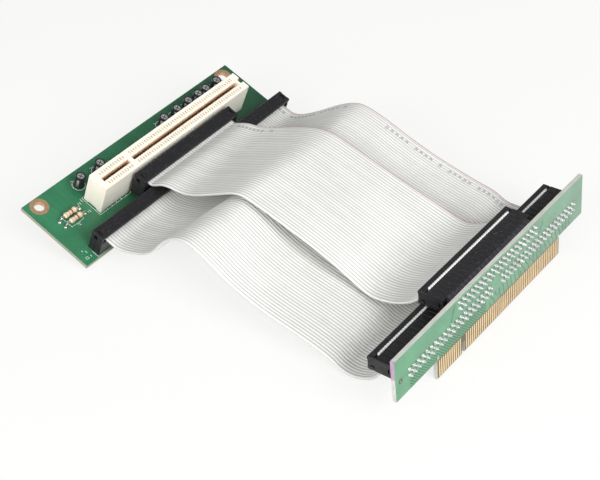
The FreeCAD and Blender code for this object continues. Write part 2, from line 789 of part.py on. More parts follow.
def ribbon_route(run, bends, start_run, mouth, end_run):
    """The route of one long edge, through the first socket, round its bends and into the second."""
    leaves = step_from(start_run[1], unit(minus(start_run[1], start_run[0])), run["leaves"])
    if mouth:
        between = rounded_route([start_run[1], leaves, *bends, *mouth, end_run[1]])
        return [slit_end(start_run)] + between
    arrives = step_from(end_run[0], unit(minus(end_run[0], end_run[1])), run["arrives"])
    between = rounded_route([start_run[1], leaves, *bends, arrives, end_run[0]])
    return [slit_end(start_run)] + between + [slit_end(end_run)]


def ribbon(name, slot_frame, slot_stand, card_frame, lower_frame=None):
    """A flat ribbon whose two long edges follow their own bends."""
    run = RIBBONS[name]
    start_run = slit_run(slot_frame, slot_stand)
    end_run = tuple(reversed(slit_run(card_frame, "card_stand")))
    mouth = mouth_run(card_frame, lower_frame) if lower_frame else None
    middle = (slot_frame.Base.y + card_frame.Base.y) / 2
    half = size("ribbon_width") / 2
    wires = []
    for edge, y in (("near_edge", middle - half), ("far_edge", middle + half)):
        route = ribbon_route(run, run[edge], start_run, mouth, end_run)
        wires.append(band_wire(route, size("ribbon_thickness"), y))
    new_shape(f"ribbon_{name}", Part.makeLoft(wires, True, True))


# ---- edge-card board ---------------------------------------------------------------------------

def edge_card():
    """The board with the card edge: a finger tab narrower than the board, with a key notch and a
    bevelled edge."""
    body = new_body("edge_card", CARD_FRAME)
    face = new_sketch(body, "YZ_Plane")
    tab_start = "Sizes.card_first_contact - Sizes.tab_margin"
    tab_end = f"{CARD_LAST_CONTACT} + Sizes.tab_margin"
    key_low = f"{KEY_CENTRE} - Sizes.key_notch_width / 2"
    key_high = f"{KEY_CENTRE} + Sizes.key_notch_width / 2"
    outline(face, [
        ("0", "Sizes.tab_height"), (tab_start, "Sizes.tab_height"), (tab_start, "0"),
        (key_low, "0"), (key_low, "Sizes.key_notch_top"), (key_high, "Sizes.key_notch_top"),
        (key_high, "0"), (tab_end, "0"), (tab_end, "Sizes.tab_height"),
        ("Sizes.card_length", "Sizes.tab_height"), ("Sizes.card_length", "Sizes.card_height"),
        ("0", "Sizes.card_height"),
    ])
    pad(body, face, "Sizes.board_thickness", downward=True)
    doc.recompute()
    bevels = new_sketch(body, "XZ_Plane")
    for surface, inward in (("0", "-"), ("-Sizes.board_thickness", "+")):
        outline(bevels, [
            (surface, "0"), (surface, "Sizes.edge_bevel_height"),
            (f"{surface} {inward} Sizes.edge_bevel_depth", "0"),
        ])
    pocket(body, bevels)
    hole = new_sketch(body, "YZ_Plane")
    circle(hole, "Sizes.tooling_hole_end_inset", "Sizes.tooling_hole_height", "Sizes.tooling_hole_radius")
    pocket(body, hole)


def finger_pads(label, face, inner):
    """The gold fingers on one face of the tab."""
    body = new_body(label, CARD_FRAME, compound=True)
    for start, count in (
        ("Sizes.card_first_contact", "Sizes.short_contacts"),
        (CARD_LONG_START, "Sizes.long_contacts"),
    ):
        finger = new_sketch(body, "YZ_Plane", offset=face)
        rectangle(finger, f"{start} - Sizes.finger_width / 2", "Sizes.finger_bottom",
                  f"{start} + Sizes.finger_width / 2", "Sizes.finger_top")
        repeat(body, [pad(body, finger, "Sizes.plating", downward=inner)], "Sizes.contact_pitch", count)


# ---- small parts of the slot board -------------------------------------------------------------

def capacitor(number, along):
    """A radial capacitor: an aluminium can in a shrink sleeve with a lip and a crimped waist."""
    across = value("Sizes.capacitor_back_inset - Sizes.slot_board_width")
    frame = SLOT_FRAME * Placement(Vector(across, along, 0), Rotation())
    can_radius = "Sizes.capacitor_radius - Sizes.sleeve_wall"
    lip = "Sizes.capacitor_height - Sizes.sleeve_wall"
    can = new_body(f"capacitor_{number}_can", frame)
    disc = new_sketch(can)
    circle(disc, "0", "0", can_radius)
    pad(can, disc, lip)
    sleeve = new_body(f"capacitor_{number}_sleeve", frame)
    wall = new_sketch(sleeve, "XZ_Plane")
    outer = "Sizes.capacitor_radius"
    crimp = "Sizes.sleeve_crimp_height"
    outline(wall, [
        (can_radius, "0"), (outer, "0"),
        (outer, crimp),
        (f"{outer} - Sizes.sleeve_crimp_depth", f"{crimp} + Sizes.sleeve_crimp_width / 2"),
        (outer, f"{crimp} + Sizes.sleeve_crimp_width"),
        (outer, "Sizes.capacitor_height"),
        (f"{can_radius} - Sizes.sleeve_lip", "Sizes.capacitor_height"),
        (f"{can_radius} - Sizes.sleeve_lip", lip), (can_radius, lip),
    ])
    revolve(sleeve, wall)


def resistor(name, inset):
    """An axial resistor: a body with a waist, and two leads bent down to the board."""
    centre = Vector(-size(inset), size("resistor_centre"), size("resistor_axis_height"))
    frame = SLOT_FRAME * Placement(centre, Rotation(Vector(1, 0, 0), -90))
    body = new_body(f"{name}_resistor_body", frame)
    half = "Sizes.resistor_length / 2"
    end = "Sizes.resistor_end_radius"
    waist = "Sizes.resistor_waist_radius"
    shoulder = "(Sizes.resistor_end_radius - Sizes.resistor_waist_radius)"
    waist_end = f"{half} - Sizes.resistor_end_length"
    section = new_sketch(body, "XZ_Plane")
    outline(section, [
        ("0", f"-{half}"), (f"{end} / 2", f"-{half}"), (end, f"-{half} + {end} / 2"),
        (end, f"-({waist_end}) - {shoulder}"), (waist, f"-({waist_end})"),
        (waist, waist_end), (end, f"{waist_end} + {shoulder}"),
        (end, f"{half} - {end} / 2"), (f"{end} / 2", half), ("0", half),
    ])
    revolve(body, section)
    leads = [resistor_lead(side) for side in (-1, 1)]
    new_shape(f"{name}_resistor_leads", Part.makeCompound(leads), frame)


def resistor_lead(side):
    """One lead, along the resistor's axis and then down to the board's face."""
    radius = size("resistor_lead_radius")
    bend = size("resistor_lead_bend")
    reach = size("resistor_lead_pitch") / 2
    leaves = Vector(0, 0, side * size("resistor_length") / 2)
    turns = Vector(0, 0, side * (reach - bend))
    corner = Vector(0, bend * (1 - math.cos(math.pi / 4)), side * (reach - bend + bend * math.sin(math.pi / 4)))
    falls = Vector(0, bend, side * reach)
    board = Vector(0, size("resistor_axis_height"), side * reach)
    path = Part.Wire([
        Part.LineSegment(leaves, turns).toShape(),
        Part.Arc(turns, corner, falls).toShape(),
        Part.LineSegment(falls, board).toShape(),
    ])
    section = Part.Wire([Part.Circle(leaves, Vector(0, 0, side), radius).toShape()])
    return path.makePipeShell([section], True, False)


# ---- assembly ----------------------------------------------------------------------------------

slot_board()
mounting_ring("near_mounting_ring", NEAR_HOLE)
mounting_ring("far_mounting_ring", FAR_HOLE)
slot_housing()
slot_contacts()
slot_solder_tails()
for number, along in enumerate(CAPACITOR_PLACES, start=1):
    capacitor(number, along)
resistor("rear", "rear_resistor_inset")
resistor("front", "front_resistor_inset")
small_part_tails()

SLOT_NEAR = on_slot_board(FRONT_ROW, "near_socket_start")
SLOT_MIDDLE = on_slot_board(REAR_ROW, "middle_socket_start")
SLOT_FAR = along_board(SLOT_NEAR, size("socket_length") + size("socket_gap"))
connector("slot_near", SLOT_NEAR, "Sizes.low_stand", header=False)
connector("slot_middle", SLOT_MIDDLE, "Sizes.tall_stand", header=True)
connector("slot_far", SLOT_FAR, "Sizes.low_stand", header=False)

CARD_NEAR = on_edge_card(LOWER_ROW, "card_near_socket_start")
CARD_MIDDLE = on_edge_card(UPPER_ROW, "card_middle_socket_start")
CARD_FAR = along_board(CARD_NEAR, -size("socket_length") - size("socket_gap"))
edge_card()
finger_pads("outer_finger_pads", "0", inner=False)
finger_pads("inner_finger_pads", "-Sizes.board_thickness", inner=True)
connector("card_near", CARD_NEAR, "Sizes.card_stand", header=True)
connector("card_middle", CARD_MIDDLE, "Sizes.card_stand", header=True)
connector("card_far", CARD_FAR, "Sizes.card_stand", header=True)

ribbon("near", SLOT_NEAR, "low_stand", CARD_NEAR)
ribbon("middle", SLOT_MIDDLE, "tall_stand", CARD_MIDDLE, lower_frame=CARD_NEAR)
ribbon("far", SLOT_FAR, "low_stand", CARD_FAR)

doc.recompute()
for item in doc.Objects:
    if {"Invalid", "Error"} & set(item.State):
        raise RuntimeError(f"{item.Label}: {item.State}")
for piece in PIECES:
    if piece.Shape.isNull() or not piece.Shape.isValid():
        raise RuntimeError(f"{piece.Label}: its shape is null or not valid")

os.makedirs("parts", exist_ok=True)
for piece in PIECES:
    piece.Shape.exportStep(f"parts/{piece.Label}.step")
    print(f"{piece.Label}: {len(piece.Shape.Solids)} solids, {piece.Shape.Volume:.2f} mm3")
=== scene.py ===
"""Looks of a riser card: two circuit boards joined by three flat ribbon cables."""

import math

import bmesh
import bpy
from mathutils import Euler, Matrix, Vector


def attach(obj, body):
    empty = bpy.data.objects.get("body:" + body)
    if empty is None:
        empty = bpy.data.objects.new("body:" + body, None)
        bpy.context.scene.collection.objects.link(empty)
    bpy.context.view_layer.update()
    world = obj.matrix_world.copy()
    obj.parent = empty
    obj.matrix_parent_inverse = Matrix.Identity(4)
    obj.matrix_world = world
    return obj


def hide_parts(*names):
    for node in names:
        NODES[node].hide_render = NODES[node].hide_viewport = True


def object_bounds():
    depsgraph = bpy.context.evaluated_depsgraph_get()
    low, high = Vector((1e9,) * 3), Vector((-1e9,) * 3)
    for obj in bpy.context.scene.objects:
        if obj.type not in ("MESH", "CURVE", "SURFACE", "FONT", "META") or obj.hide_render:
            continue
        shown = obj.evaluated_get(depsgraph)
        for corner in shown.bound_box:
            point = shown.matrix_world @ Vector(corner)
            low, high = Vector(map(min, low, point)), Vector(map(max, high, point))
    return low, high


bl_info = {
    "name": "Riser card",
    "version": (1, 0, 0),
    "blender": (4, 5, 0),
    "location": "View3D > Sidebar > Riser card",
    "description": "Builds the looks of a riser card round its packed frame",
    "category": "Object",
}

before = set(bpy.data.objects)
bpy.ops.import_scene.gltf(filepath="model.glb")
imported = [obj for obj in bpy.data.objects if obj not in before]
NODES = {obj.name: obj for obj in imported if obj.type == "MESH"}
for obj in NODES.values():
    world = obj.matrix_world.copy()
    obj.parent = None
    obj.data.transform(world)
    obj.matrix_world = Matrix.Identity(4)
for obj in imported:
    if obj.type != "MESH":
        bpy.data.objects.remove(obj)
CAD_BOX = [list(corner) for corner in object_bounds()]
BODY = "root"
MM = 0.001
BOARD_THICKNESS = 1.6
FINGER_PITCH = 1.27
PIN_PITCH = 2.54
ROWS = ("near", "middle", "far")


# ---- the two boards' own frames ------------------------------------------------------------------

def extent(corners):
    """The lowest and the highest value of some corners along each axis."""
    return [[choose(c[axis] for c in corners) for axis in range(3)] for choose in (min, max)]


def middle_of(corners):
    return Vector([(low + high) / 2 for low, high in zip(*extent(corners))])


class Board:
    """A board's frame in millimetres: x across towards ribbons or fingers, y along, z out."""

    def __init__(self, node):
        mesh = NODES[node].data
        areas = {}
        for face in mesh.polygons:
            facing = tuple(round(part, 3) for part in face.normal)
            if facing[0] > 0:
                areas[facing] = areas.get(facing, 0) + face.area
        out = Vector(max(areas, key=areas.get))
        out.y = 0
        out.normalize()
        along = Vector((0, 1, 0))
        across = along.cross(out)
        corners = [vertex.co for vertex in mesh.vertices]
        self.origin = (across * max(c.dot(across) for c in corners)
                       + along * min(c.dot(along) for c in corners)
                       + out * max(c.dot(out) for c in corners))
        turn = Matrix((across, along, out)).transposed()
        self.euler = turn.to_euler()
        self.matrix = (Matrix.Translation(self.origin) @ turn.to_4x4()
                       @ Matrix.Scale(MM, 4))
        self.inverse = self.matrix.inverted()
        self.length = (max(c.y for c in corners) - min(c.y for c in corners)) / MM

    def corners(self, node):
        """The corners of a CAD node, in this frame."""
        return [self.inverse @ vertex.co for vertex in NODES[node].data.vertices]

    def middles(self, *nodes):
        """The middle of every closed shell of some CAD nodes, in this frame."""
        found = []
        for node in nodes:
            copy = bmesh.new()
            copy.from_mesh(NODES[node].data)
            bmesh.ops.remove_doubles(copy, verts=copy.verts, dist=1e-6)
            waiting = set(copy.verts)
            for first in copy.verts:
                if first not in waiting:
                    continue
                waiting.remove(first)
                shell, open_ends = [], [first]
                while open_ends:
                    corner = open_ends.pop()
                    shell.append(self.inverse @ corner.co)
                    others = {edge.other_vert(corner) for edge in corner.link_edges} & waiting
                    waiting -= others
                    open_ends.extend(others)
                found.append(middle_of(shell))
            copy.free()
        return found


SLOT_BOARD = Board("slot_board")
EDGE_CARD = Board("edge_card")
HOUSING_LOW, HOUSING_HIGH = extent(SLOT_BOARD.corners("slot_housing"))
SLOT_ACROSS, SLOT_MIDDLE, _ = middle_of((HOUSING_LOW, HOUSING_HIGH))
SLOT_HALF_LENGTH = HOUSING_HIGH[1] - SLOT_MIDDLE
FINGER_START = min(pad.y for pad in EDGE_CARD.middles("outer_finger_pads"))


def nodes_with(word):
    return sorted(name for name in NODES if word in name)


# ---- sizes and colours ---------------------------------------------------------------------------

def colour(red, green, blue, name, description):
    return bpy.props.FloatVectorProperty(
        name=name, description=description, subtype="COLOR", size=3,
        min=0.0, max=1.0, default=(red, green, blue))


def distance(millimetres, name, description):
    return bpy.props.FloatProperty(
        name=name, description=description, subtype="DISTANCE", unit="LENGTH",
        min=0.0, default=millimetres * MM, precision=5)


class RiserSizes(bpy.types.PropertyGroup):
    """Sizes of the details that the looks add to the frame."""

    ribbon_thickness: distance(0.9, "Ribbon thickness", "Thickness over a conductor's insulation")
    ribbon_web: distance(0.44, "Ribbon web", "Thickness between two conductors")
    ribbon_conductors: bpy.props.IntProperty(
        name="Conductors", description="Conductors side by side in each ribbon",
        min=2, max=80, default=40)
    joint_radius: distance(0.74, "Joint radius", "Radius of a solder joint at the board")
    joint_height: distance(1.5, "Joint height", "How far a soldered pin stands out of the board")
    ink_width: distance(0.22, "Ink width", "Width of the board's white printed lines")
    plastic_edge: distance(0.14, "Plastic edge", "Radius of the softened edges of moulded parts")
    board_edge: distance(0.06, "Board edge", "Radius of the softened edges of the boards")


class RiserColours(bpy.types.PropertyGroup):
    """Colours of the finishes."""

    slot_board: colour(0.032, 0.190, 0.088, "Slot board", "Solder mask of the slot board")
    # Painted shade: the slot board's mask darkens towards its far end.
    slot_board_far_shade: colour(
        0.020, 0.105, 0.050, "Slot board, painted far shade", "Painted lighting of the solder mask at the far end")
    edge_card: colour(0.104, 0.280, 0.158, "Edge card", "Solder mask of the edge card")
    # Painted reflected light: the edge card's mask turns paler towards its far end.
    edge_card_far_light: colour(0.165, 0.290, 0.205, "Edge card, painted far light", "Painted lighting of the solder mask at the far end")
    laminate: colour(0.330, 0.330, 0.250, "Laminate", "Cut edge of the slot board")
    card_laminate: colour(0.560, 0.570, 0.520, "Card laminate", "Cut edge of the edge card")
    card_end: colour(0.440, 0.290, 0.420, "Card end", "Upper part of the edge card's near end")
    slot_plastic: colour(0.970, 0.915, 0.800, "Slot plastic", "Moulded plastic of the card slot")
    connector_plastic: colour(0.013, 0.013, 0.015, "Connector plastic", "Sockets, caps and headers")
    ribbon: colour(0.850, 0.850, 0.825, "Ribbon", "Insulation of the ribbons")
    # Painted shade: the grooves between conductors take this darker colour.
    ribbon_groove_shade: colour(0.540, 0.540, 0.520, "Ribbon groove shade", "Painted shade on the insulation between conductors")
    ribbon_stripe: colour(0.470, 0.250, 0.310, "First conductor", "Stripe along one edge conductor")
    gold: colour(0.900, 0.680, 0.400, "Gold", "Contacts and finger pads")
    copper: colour(0.720, 0.480, 0.280, "Ring copper", "Plated rings of the mounting holes")
    solder: colour(0.760, 0.760, 0.750, "Solder", "Solder joints")
    tin: colour(0.620, 0.610, 0.590, "Tinned wire", "Resistor leads")
    sleeve: colour(0.010, 0.010, 0.012, "Capacitor sleeve", "Plastic sleeve of the capacitors")
    can: colour(0.640, 0.650, 0.650, "Capacitor can", "Aluminium top of the capacitors")
    resistor: colour(0.800, 0.640, 0.460, "Resistor", "Lacquer of the resistors")
    ink: colour(0.780, 0.800, 0.770, "Ink", "Printed lines on the boards")


def settings(context):
    return context.scene.riser_sizes, context.scene.riser_colours


# ---- node trees ----------------------------------------------------------------------------------

def pick(sockets, key):
    """A usable socket by its name, or by its place among the usable ones."""
    usable = [s for s in sockets if s.enabled and not s.is_unavailable]
    if isinstance(key, int):
        return usable[key]
    return next(s for s in usable if s.name == key)


class Term:
    """One output of a node. Arithmetic on it adds nodes, and [key] is another output."""

    def __init__(self, graph, node, key=0):
        self.graph, self.node = graph, node
        self.socket = pick(node.outputs, key)

    def __getitem__(self, key):
        return Term(self.graph, self.node, key)

    def math(self, operation, *others, **options):
        return self.graph.math(operation, self, *others, **options)

    def __add__(self, other):
        return self.math("ADD", other)

    def __mul__(self, other):
        return self.math("MULTIPLY", other)

    __radd__, __rmul__ = __add__, __mul__

    def __sub__(self, other):
        return self.math("SUBTRACT", other)

    def __rsub__(self, other):
        return self.graph.math("SUBTRACT", other, self)

    def __truediv__(self, other):
        return self.math("DIVIDE", other)

    def __rtruediv__(self, other):
        return self.graph.math("DIVIDE", other, self)

    def __abs__(self):
        return self.math("ABSOLUTE")

    def at_least(self, other):
        return self.math("MAXIMUM", other)

    def at_most(self, other):
        return self.math("MINIMUM", other)

    def floor(self):
        return self.math("FLOOR")

    def fraction(self):
        return self.math("FRACT")

    def step(self, low, high, start=0.0, end=1.0):
        """Rises smoothly from start to end while this goes from low to high."""
        return self.graph.add("ShaderNodeMapRange", {
            0: self, 1: low, 2: high, 3: start, 4: end}, interpolation_type="SMOOTHSTEP")

    def between(self, low, high, soft):
        """1 from low to high, and 0 outside, over a soft edge."""
        rise, fall = (self.step(edge - soft, edge + soft) for edge in (low, high))
        return rise.math("SUBTRACT", fall, use_clamp=True)


class Graph:
    """Adds nodes to a tree. An input is a plain value or a term."""

    def __init__(self, tree):
        self.tree = tree

    def link(self, value, socket):
        if isinstance(value, Term):
            self.tree.links.new(value.socket, socket)
        else:
            socket.default_value = value

    def add(self, kind, inputs=None, **options):
        node = self.tree.nodes.new(kind)
        column, row = divmod(len(self.tree.nodes), 8)
        node.location = (220 * column, -180 * row)
        for name, value in options.items():
            setattr(node, name, value)
        for key, value in (inputs or {}).items():
            self.link(value, pick(node.inputs, key))
        return Term(self, node)

    def math(self, operation, *values, kind="ShaderNodeMath", **options):
        return self.add(kind, dict(enumerate(values)), operation=operation, **options)

    def vector(self, operation, *values):
        return self.math(operation, *values, kind="ShaderNodeVectorMath")

    def split(self, vector):
        return self.add("ShaderNodeSeparateXYZ", {0: vector})

    def join(self, x, y, z):
        return self.add("ShaderNodeCombineXYZ", {0: x, 1: y, 2: z})

    def mix(self, factor, first, second, blend="MIX"):
        return self.add("ShaderNodeMix", {"Factor": factor, "A": first, "B": second},
                        data_type="RGBA", blend_type=blend)

    def shade(self, base, amount):
        """Makes a colour lighter or darker by an amount about 1."""
        return self.mix(1.0, base, self.join(amount, amount, amount), "MULTIPLY")

    def here(self):
        return self.add("ShaderNodeTexCoord")["Object"]

    def noise(self, vector, scale, detail=2.0, rough=0.5):
        return self.add("ShaderNodeTexNoise", {
            "Vector": vector, "Scale": scale, "Detail": detail, "Roughness": rough})["Fac"]

    def chance(self, number):
        """A steady random value from 0 to 1 for a number."""
        return self.add("ShaderNodeTexWhiteNoise", {"W": number}, noise_dimensions="1D")["Value"]

    def group(self, maker, **inputs):
        """Places a shared group, made the first time that it is asked for."""
        if maker not in GROUPS:
            GROUPS[maker] = maker()
        return self.add("ShaderNodeGroup", {
            name.replace("_", " ").capitalize(): value for name, value in inputs.items()},
            node_tree=GROUPS[maker])


GROUPS = {}
SOCKET_KINDS = {float: "Float", int: "Int", tuple: "Vector"}


class Group(Graph):
    """A node group. An input is given by its default, or by its kind in words."""

    def __init__(self, name, inputs, outputs, tree_kind="ShaderNodeTree"):
        super().__init__(bpy.data.node_groups.new(name, tree_kind))
        for key, value in inputs.items():
            kind = value if isinstance(value, str) else SOCKET_KINDS[type(value)]
            item = self.tree.interface.new_socket(
                key, in_out="INPUT", socket_type=f"NodeSocket{kind}")
            if kind != value:
                item.default_value = value
        for key, kind in outputs.items():
            self.tree.interface.new_socket(
                key, in_out="OUTPUT", socket_type=f"NodeSocket{kind}")
        self.given = self.add("NodeGroupInput")
        self.result = self.tree.nodes.new("NodeGroupOutput")

    def end(self, **values):
        for name, value in values.items():
            self.link(value, self.result.inputs[name])
        return self.tree


def board_place_group():
    """Object coordinates turned into a board's own frame, in millimetres."""
    group = Group("Board place", {"Start": (0.0, 0.0, 0.0), "Turn": (0.0, 0.0, 0.0)}, {
        "Place": "Vector", "Across": "Float", "Along": "Float", "Out": "Float",
        "Facing": "Float"})
    turn = group.given["Turn"]
    place = group.add("ShaderNodeMapping", {
        "Vector": group.here(), "Location": group.given["Start"], "Rotation": turn,
        "Scale": (MM, MM, MM)}, vector_type="TEXTURE")
    normal = group.add("ShaderNodeMapping", {
        "Vector": group.add("ShaderNodeNewGeometry")["Normal"], "Rotation": turn},
        vector_type="TEXTURE")
    across, along, out = group.split(place)
    return group.end(Place=place, Across=across, Along=along, Out=out,
                     Facing=group.split(normal)[2])


def soft_edge_group():
    """A rounded normal along sharp edges, and a mask of where it bends."""
    group = Group("Soft edge", {"Radius": 0.0001}, {"Normal": "Vector", "Edge": "Float"})
    bevel = group.add("ShaderNodeBevel", {"Radius": group.given["Radius"]}, samples=6)
    flat = group.add("ShaderNodeNewGeometry")["Normal"]
    agree = group.vector("DOT_PRODUCT", bevel, flat)
    return group.end(Normal=bevel, Edge=agree.step(0.995, 0.86))


def grain_group():
    """Fine moulded grain, broad handling marks and long streaks, each about 0.5 on average."""
    group = Group("Moulding grain", {"Grain size": 0.0003, "Cloud size": 0.01},
                  {"Grain": "Float", "Clouds": "Float", "Streaks": "Float"})
    here, cloud = group.here(), group.given["Cloud size"]
    stretched = group.vector("MULTIPLY", here, (1.0, 0.12, 1.0))
    return group.end(Grain=group.noise(here, 1.0 / group.given["Grain size"], 3.0, 0.6),
                     Clouds=group.noise(here, 1.0 / cloud, 4.0, 0.55),
                     Streaks=group.noise(stretched, 3.0 / cloud, 3.0, 0.6))


def dust_group():
    """Small pale specks and short scratches, scattered thinly."""
    group = Group("Dust", {"Speck size": 0.0005}, {"Specks": "Float"})
    here, close = group.here(), 1.0 / group.given["Speck size"]
    cells = group.add("ShaderNodeTexVoronoi", {"Vector": here, "Scale": close})
    chosen = group.split(cells["Color"])[0].step(0.74, 0.78)
    stretched = group.vector("MULTIPLY", here, (1.0, 0.15, 1.0))
    scratch = group.noise(stretched, close * 0.9, 2.0).step(0.70, 0.76)
    spot = cells["Distance"].step(0.30, 0.12) * chosen
    return group.end(Specks=spot.at_least(scratch * 0.5))


TRACK_BLOCK = 6 * FINGER_PITCH


def tracks_group():
    """Parallel tracks across a board that slant, and jog sideways by blocks of six."""
    numbers = {"Across": 0.0, "Along": 0.0, "Pitch": FINGER_PITCH, "Width": 0.4, "Start": 0.0,
               "End": 1.0, "Jog": 0.8, "Slant": 0.0}
    group = Group("Board tracks", numbers, {"Track": "Float"})
    across, along, pitch, width, start, end, jog, slant = (group.given[n] for n in numbers)
    part = (across - start) / (end - start)
    sway = ((along / TRACK_BLOCK).floor() * 2.4).math("SINE")
    moved = along + jog * sway * part.step(0.35, 0.62) - slant * (across - start)
    off = abs((moved / pitch).fraction() - 0.5) * pitch
    half = width * 0.5
    line = off.step(half + 0.08, half - 0.04)
    return group.end(Track=line * (part.step(0.0, 0.03) * part.step(1.0, 0.97)))


# ---- finishes ------------------------------------------------------------------------------------

def rgba(value, factor=1.0):
    return tuple(min(1.0, part * factor) for part in value) + (1.0,)


class Finish(Graph):
    """A material round its Principled shader, with its grain and softened edges if wanted."""

    def __init__(self, name, roughness, grain_mm=None, radius=None, **values):
        self.material = bpy.data.materials.new(name)
        self.material.use_nodes = True
        super().__init__(self.material.node_tree)
        self.shader = self.tree.nodes["Principled BSDF"]
        for key, value in {"Roughness": roughness, **values}.items():
            self.shader.inputs[key.replace("_", " ")].default_value = value
        if grain_mm:
            fine, broad = grain_mm
            made = self.group(grain_group, grain_size=fine * MM, cloud_size=broad * MM)
            self.grain, self.clouds, self.streaks = made
        self.soft = self.group(soft_edge_group, radius=radius) if radius else None

    def place(self, board):
        return self.group(board_place_group, start=board.origin, turn=tuple(board.euler))

    def end(self, base, rough, height, depth_mm):
        """Links the colour, the roughness and the bump, and gives the material."""
        bump = {"Height": height, "Distance": depth_mm * MM, "Strength": 1.0}
        if self.soft:
            bump["Normal"] = self.soft["Normal"]
        self.link(base, self.shader.inputs["Base Color"])
        self.link(rough, self.shader.inputs["Roughness"])
        self.link(self.add("ShaderNodeBump", bump), self.shader.inputs["Normal"])
        return self.material


CARD_END_LOW = -17.8
BARE_LAMINATE = (0.095, 0.068, 0.036, 1.0)


def mask_finish(name, board, near, far, edge, end, tracks, track_tint, track_depth,
                bare_from, radius):
    """Green solder mask over copper tracks, on laminate whose cut edges show its layers, with
    painted light and shade towards the far end and painted highlights along its softened edges.
    """
    finish = Finish(name, 0.34, (0.35, 9), radius, Specular_IOR_Level=0.45)
    place = finish.place(board)
    across, along, out = place["Across"], place["Along"], place["Out"]
    # Painted light and shade: the mask blends along the board towards the far-end colour, which
    # stands in for shade on the slot board and for reflected light on the edge card.
    green = finish.mix((along / board.length).step(0.0, 1.0), rgba(near), rgba(far))
    track = None
    for run in tracks:
        run = dict(run)
        reach, first = run.pop("between", None), run.pop("first", 0.0)
        made = finish.group(tracks_group, across=across, along=along - first, **run)
        if reach:
            made = made * along.between(*reach, 0.1)
        track = track.at_least(made) if track else made
    dark = finish.mix(1.0, green, (*track_tint, 1.0), "MULTIPLY")
    green = finish.mix(track * track_depth, green, dark)
    if bare_from is not None:
        bare_band = across.step(bare_from - 0.1, bare_from + 0.1)
        green = finish.mix(bare_band * 0.9, green, BARE_LAMINATE)
    green = finish.shade(green, finish.clouds.step(0.3, 0.7, 0.88, 1.1)
                         * finish.grain.step(0.3, 0.7, 0.93, 1.06))
    layers = finish.noise(finish.join(across * 0.25, along * 0.25, out * 9.0), 1.0, 3.0)
    near_end = along.step(0.5, 0.3) * across.step(CARD_END_LOW, CARD_END_LOW - 1.0)
    cut = finish.shade(finish.mix(near_end, rgba(edge), rgba(end)),
                       layers.step(0.35, 0.65, 0.8, 1.15))
    on_face = abs(place["Facing"]).step(0.6, 0.8)
    tint = finish.mix(on_face, cut, green)
    # Painted highlight: the softened edges are lightened to a brighter copy of the cut edge's
    # colour.
    tint = finish.mix(finish.soft["Edge"] * 0.35, tint, rgba(edge, 1.3))
    rough = finish.clouds.step(0.25, 0.75, 0.28, 0.42) + (1.0 - on_face) * 0.3
    weave = (across * 9.0).math("SINE") * (along * 9.0).math("SINE")
    return finish.end(tint, rough, track * 0.8 + (weave * 0.06 + finish.grain * 0.15), 0.035)


def plastic_finish(name, tint, highlight_and_dust_tint, roughness, radius):
    """Moulded plastic: fine grain, flow marks, dust, and painted highlights along its edges."""
    finish = Finish(name, roughness, (0.22, 12), radius, Specular_IOR_Level=0.34)
    base = finish.shade(rgba(tint), finish.clouds.step(0.25, 0.75, 0.9, 1.1))
    # Painted highlight: the softened edges are lightened towards the highlight tint, which the dust
    # specks below also use, made paler.
    base = finish.mix(finish.soft["Edge"] * 0.6, base, rgba(highlight_and_dust_tint))
    dust = finish.group(dust_group, speck_size=0.55 * MM)
    base = finish.mix(dust * 0.8, base, rgba(highlight_and_dust_tint, 1.6))
    rough = finish.streaks.step(0.25, 0.75, roughness - 0.07, roughness + 0.08)
    return finish.end(base, rough, finish.grain, 0.04)


SLOT_OPENING = (1.35, 1.1)
CHAMBER = (2.05, 3.15)
SLOT_CLOSED_END = 2.3


def slot_finish(tint, radius):
    """Cream plastic of the card slot, with painted highlights on its edges, painted shade near the
    board, painted shade tinted by reflected gold down inside its slot, and painted gold reflection
    in its chambers.
    """
    finish = Finish("Slot plastic", 0.42, (0.3, 14), radius, Specular_IOR_Level=0.45,
                    Subsurface_Weight=0.2, Subsurface_Scale=1.0,
                    Subsurface_Radius=(0.0012, 0.0009, 0.0006))
    place = finish.place(SLOT_BOARD)
    out, off_centre = place["Out"], abs(place["Across"] - SLOT_ACROSS)
    deep = off_centre.step(*SLOT_OPENING) * out.step(14.4, 13.2)
    chamber = off_centre.between(*CHAMBER, 0.08) * out.step(14.72, 14.3)
    open_length = SLOT_HALF_LENGTH - SLOT_CLOSED_END
    between_ends = abs(place["Along"] - SLOT_MIDDLE).step(open_length, open_length - 0.4)
    base = finish.shade(rgba(tint), finish.clouds.step(0.25, 0.75, 0.95, 1.04))
    # Painted highlight: the softened edges are a brighter cream.
    base = finish.mix(finish.soft["Edge"] * 0.5, base, rgba(tint, 1.18))
    # Painted shade: the plastic darkens towards the board.
    base = finish.mix(out.step(2.4, 0.4) * 0.2, base, rgba(tint, 0.72))
    # Painted shade tinted by reflected gold: the walls down inside the slot are brown.
    base = finish.mix(between_ends * deep * 0.85, base, (0.62, 0.37, 0.19, 1.0))
    # Painted gold reflection: the chamber walls are a bright tan that lightens their shade.
    base = finish.mix(between_ends * chamber * 0.9, base, (1.0, 0.80, 0.52, 1.0))
    return finish.end(base, finish.streaks.step(0.2, 0.8, 0.34, 0.5), finish.grain, 0.02)


def metal_finish(name, tint, dull, roughness, radius, metallic=1.0, cloud_mm=1.5, depth=0.02):
    """Metal with small dull patches and a lightly uneven surface."""
    finish = Finish(name, roughness, (0.25, cloud_mm), radius, Metallic=metallic)
    base = finish.mix(finish.clouds.step(0.35, 0.7) * 0.6, rgba(tint), rgba(dull))
    rough = finish.clouds.step(0.3, 0.75, roughness - 0.07, roughness + 0.14)
    return finish.end(base, rough, finish.grain, depth)


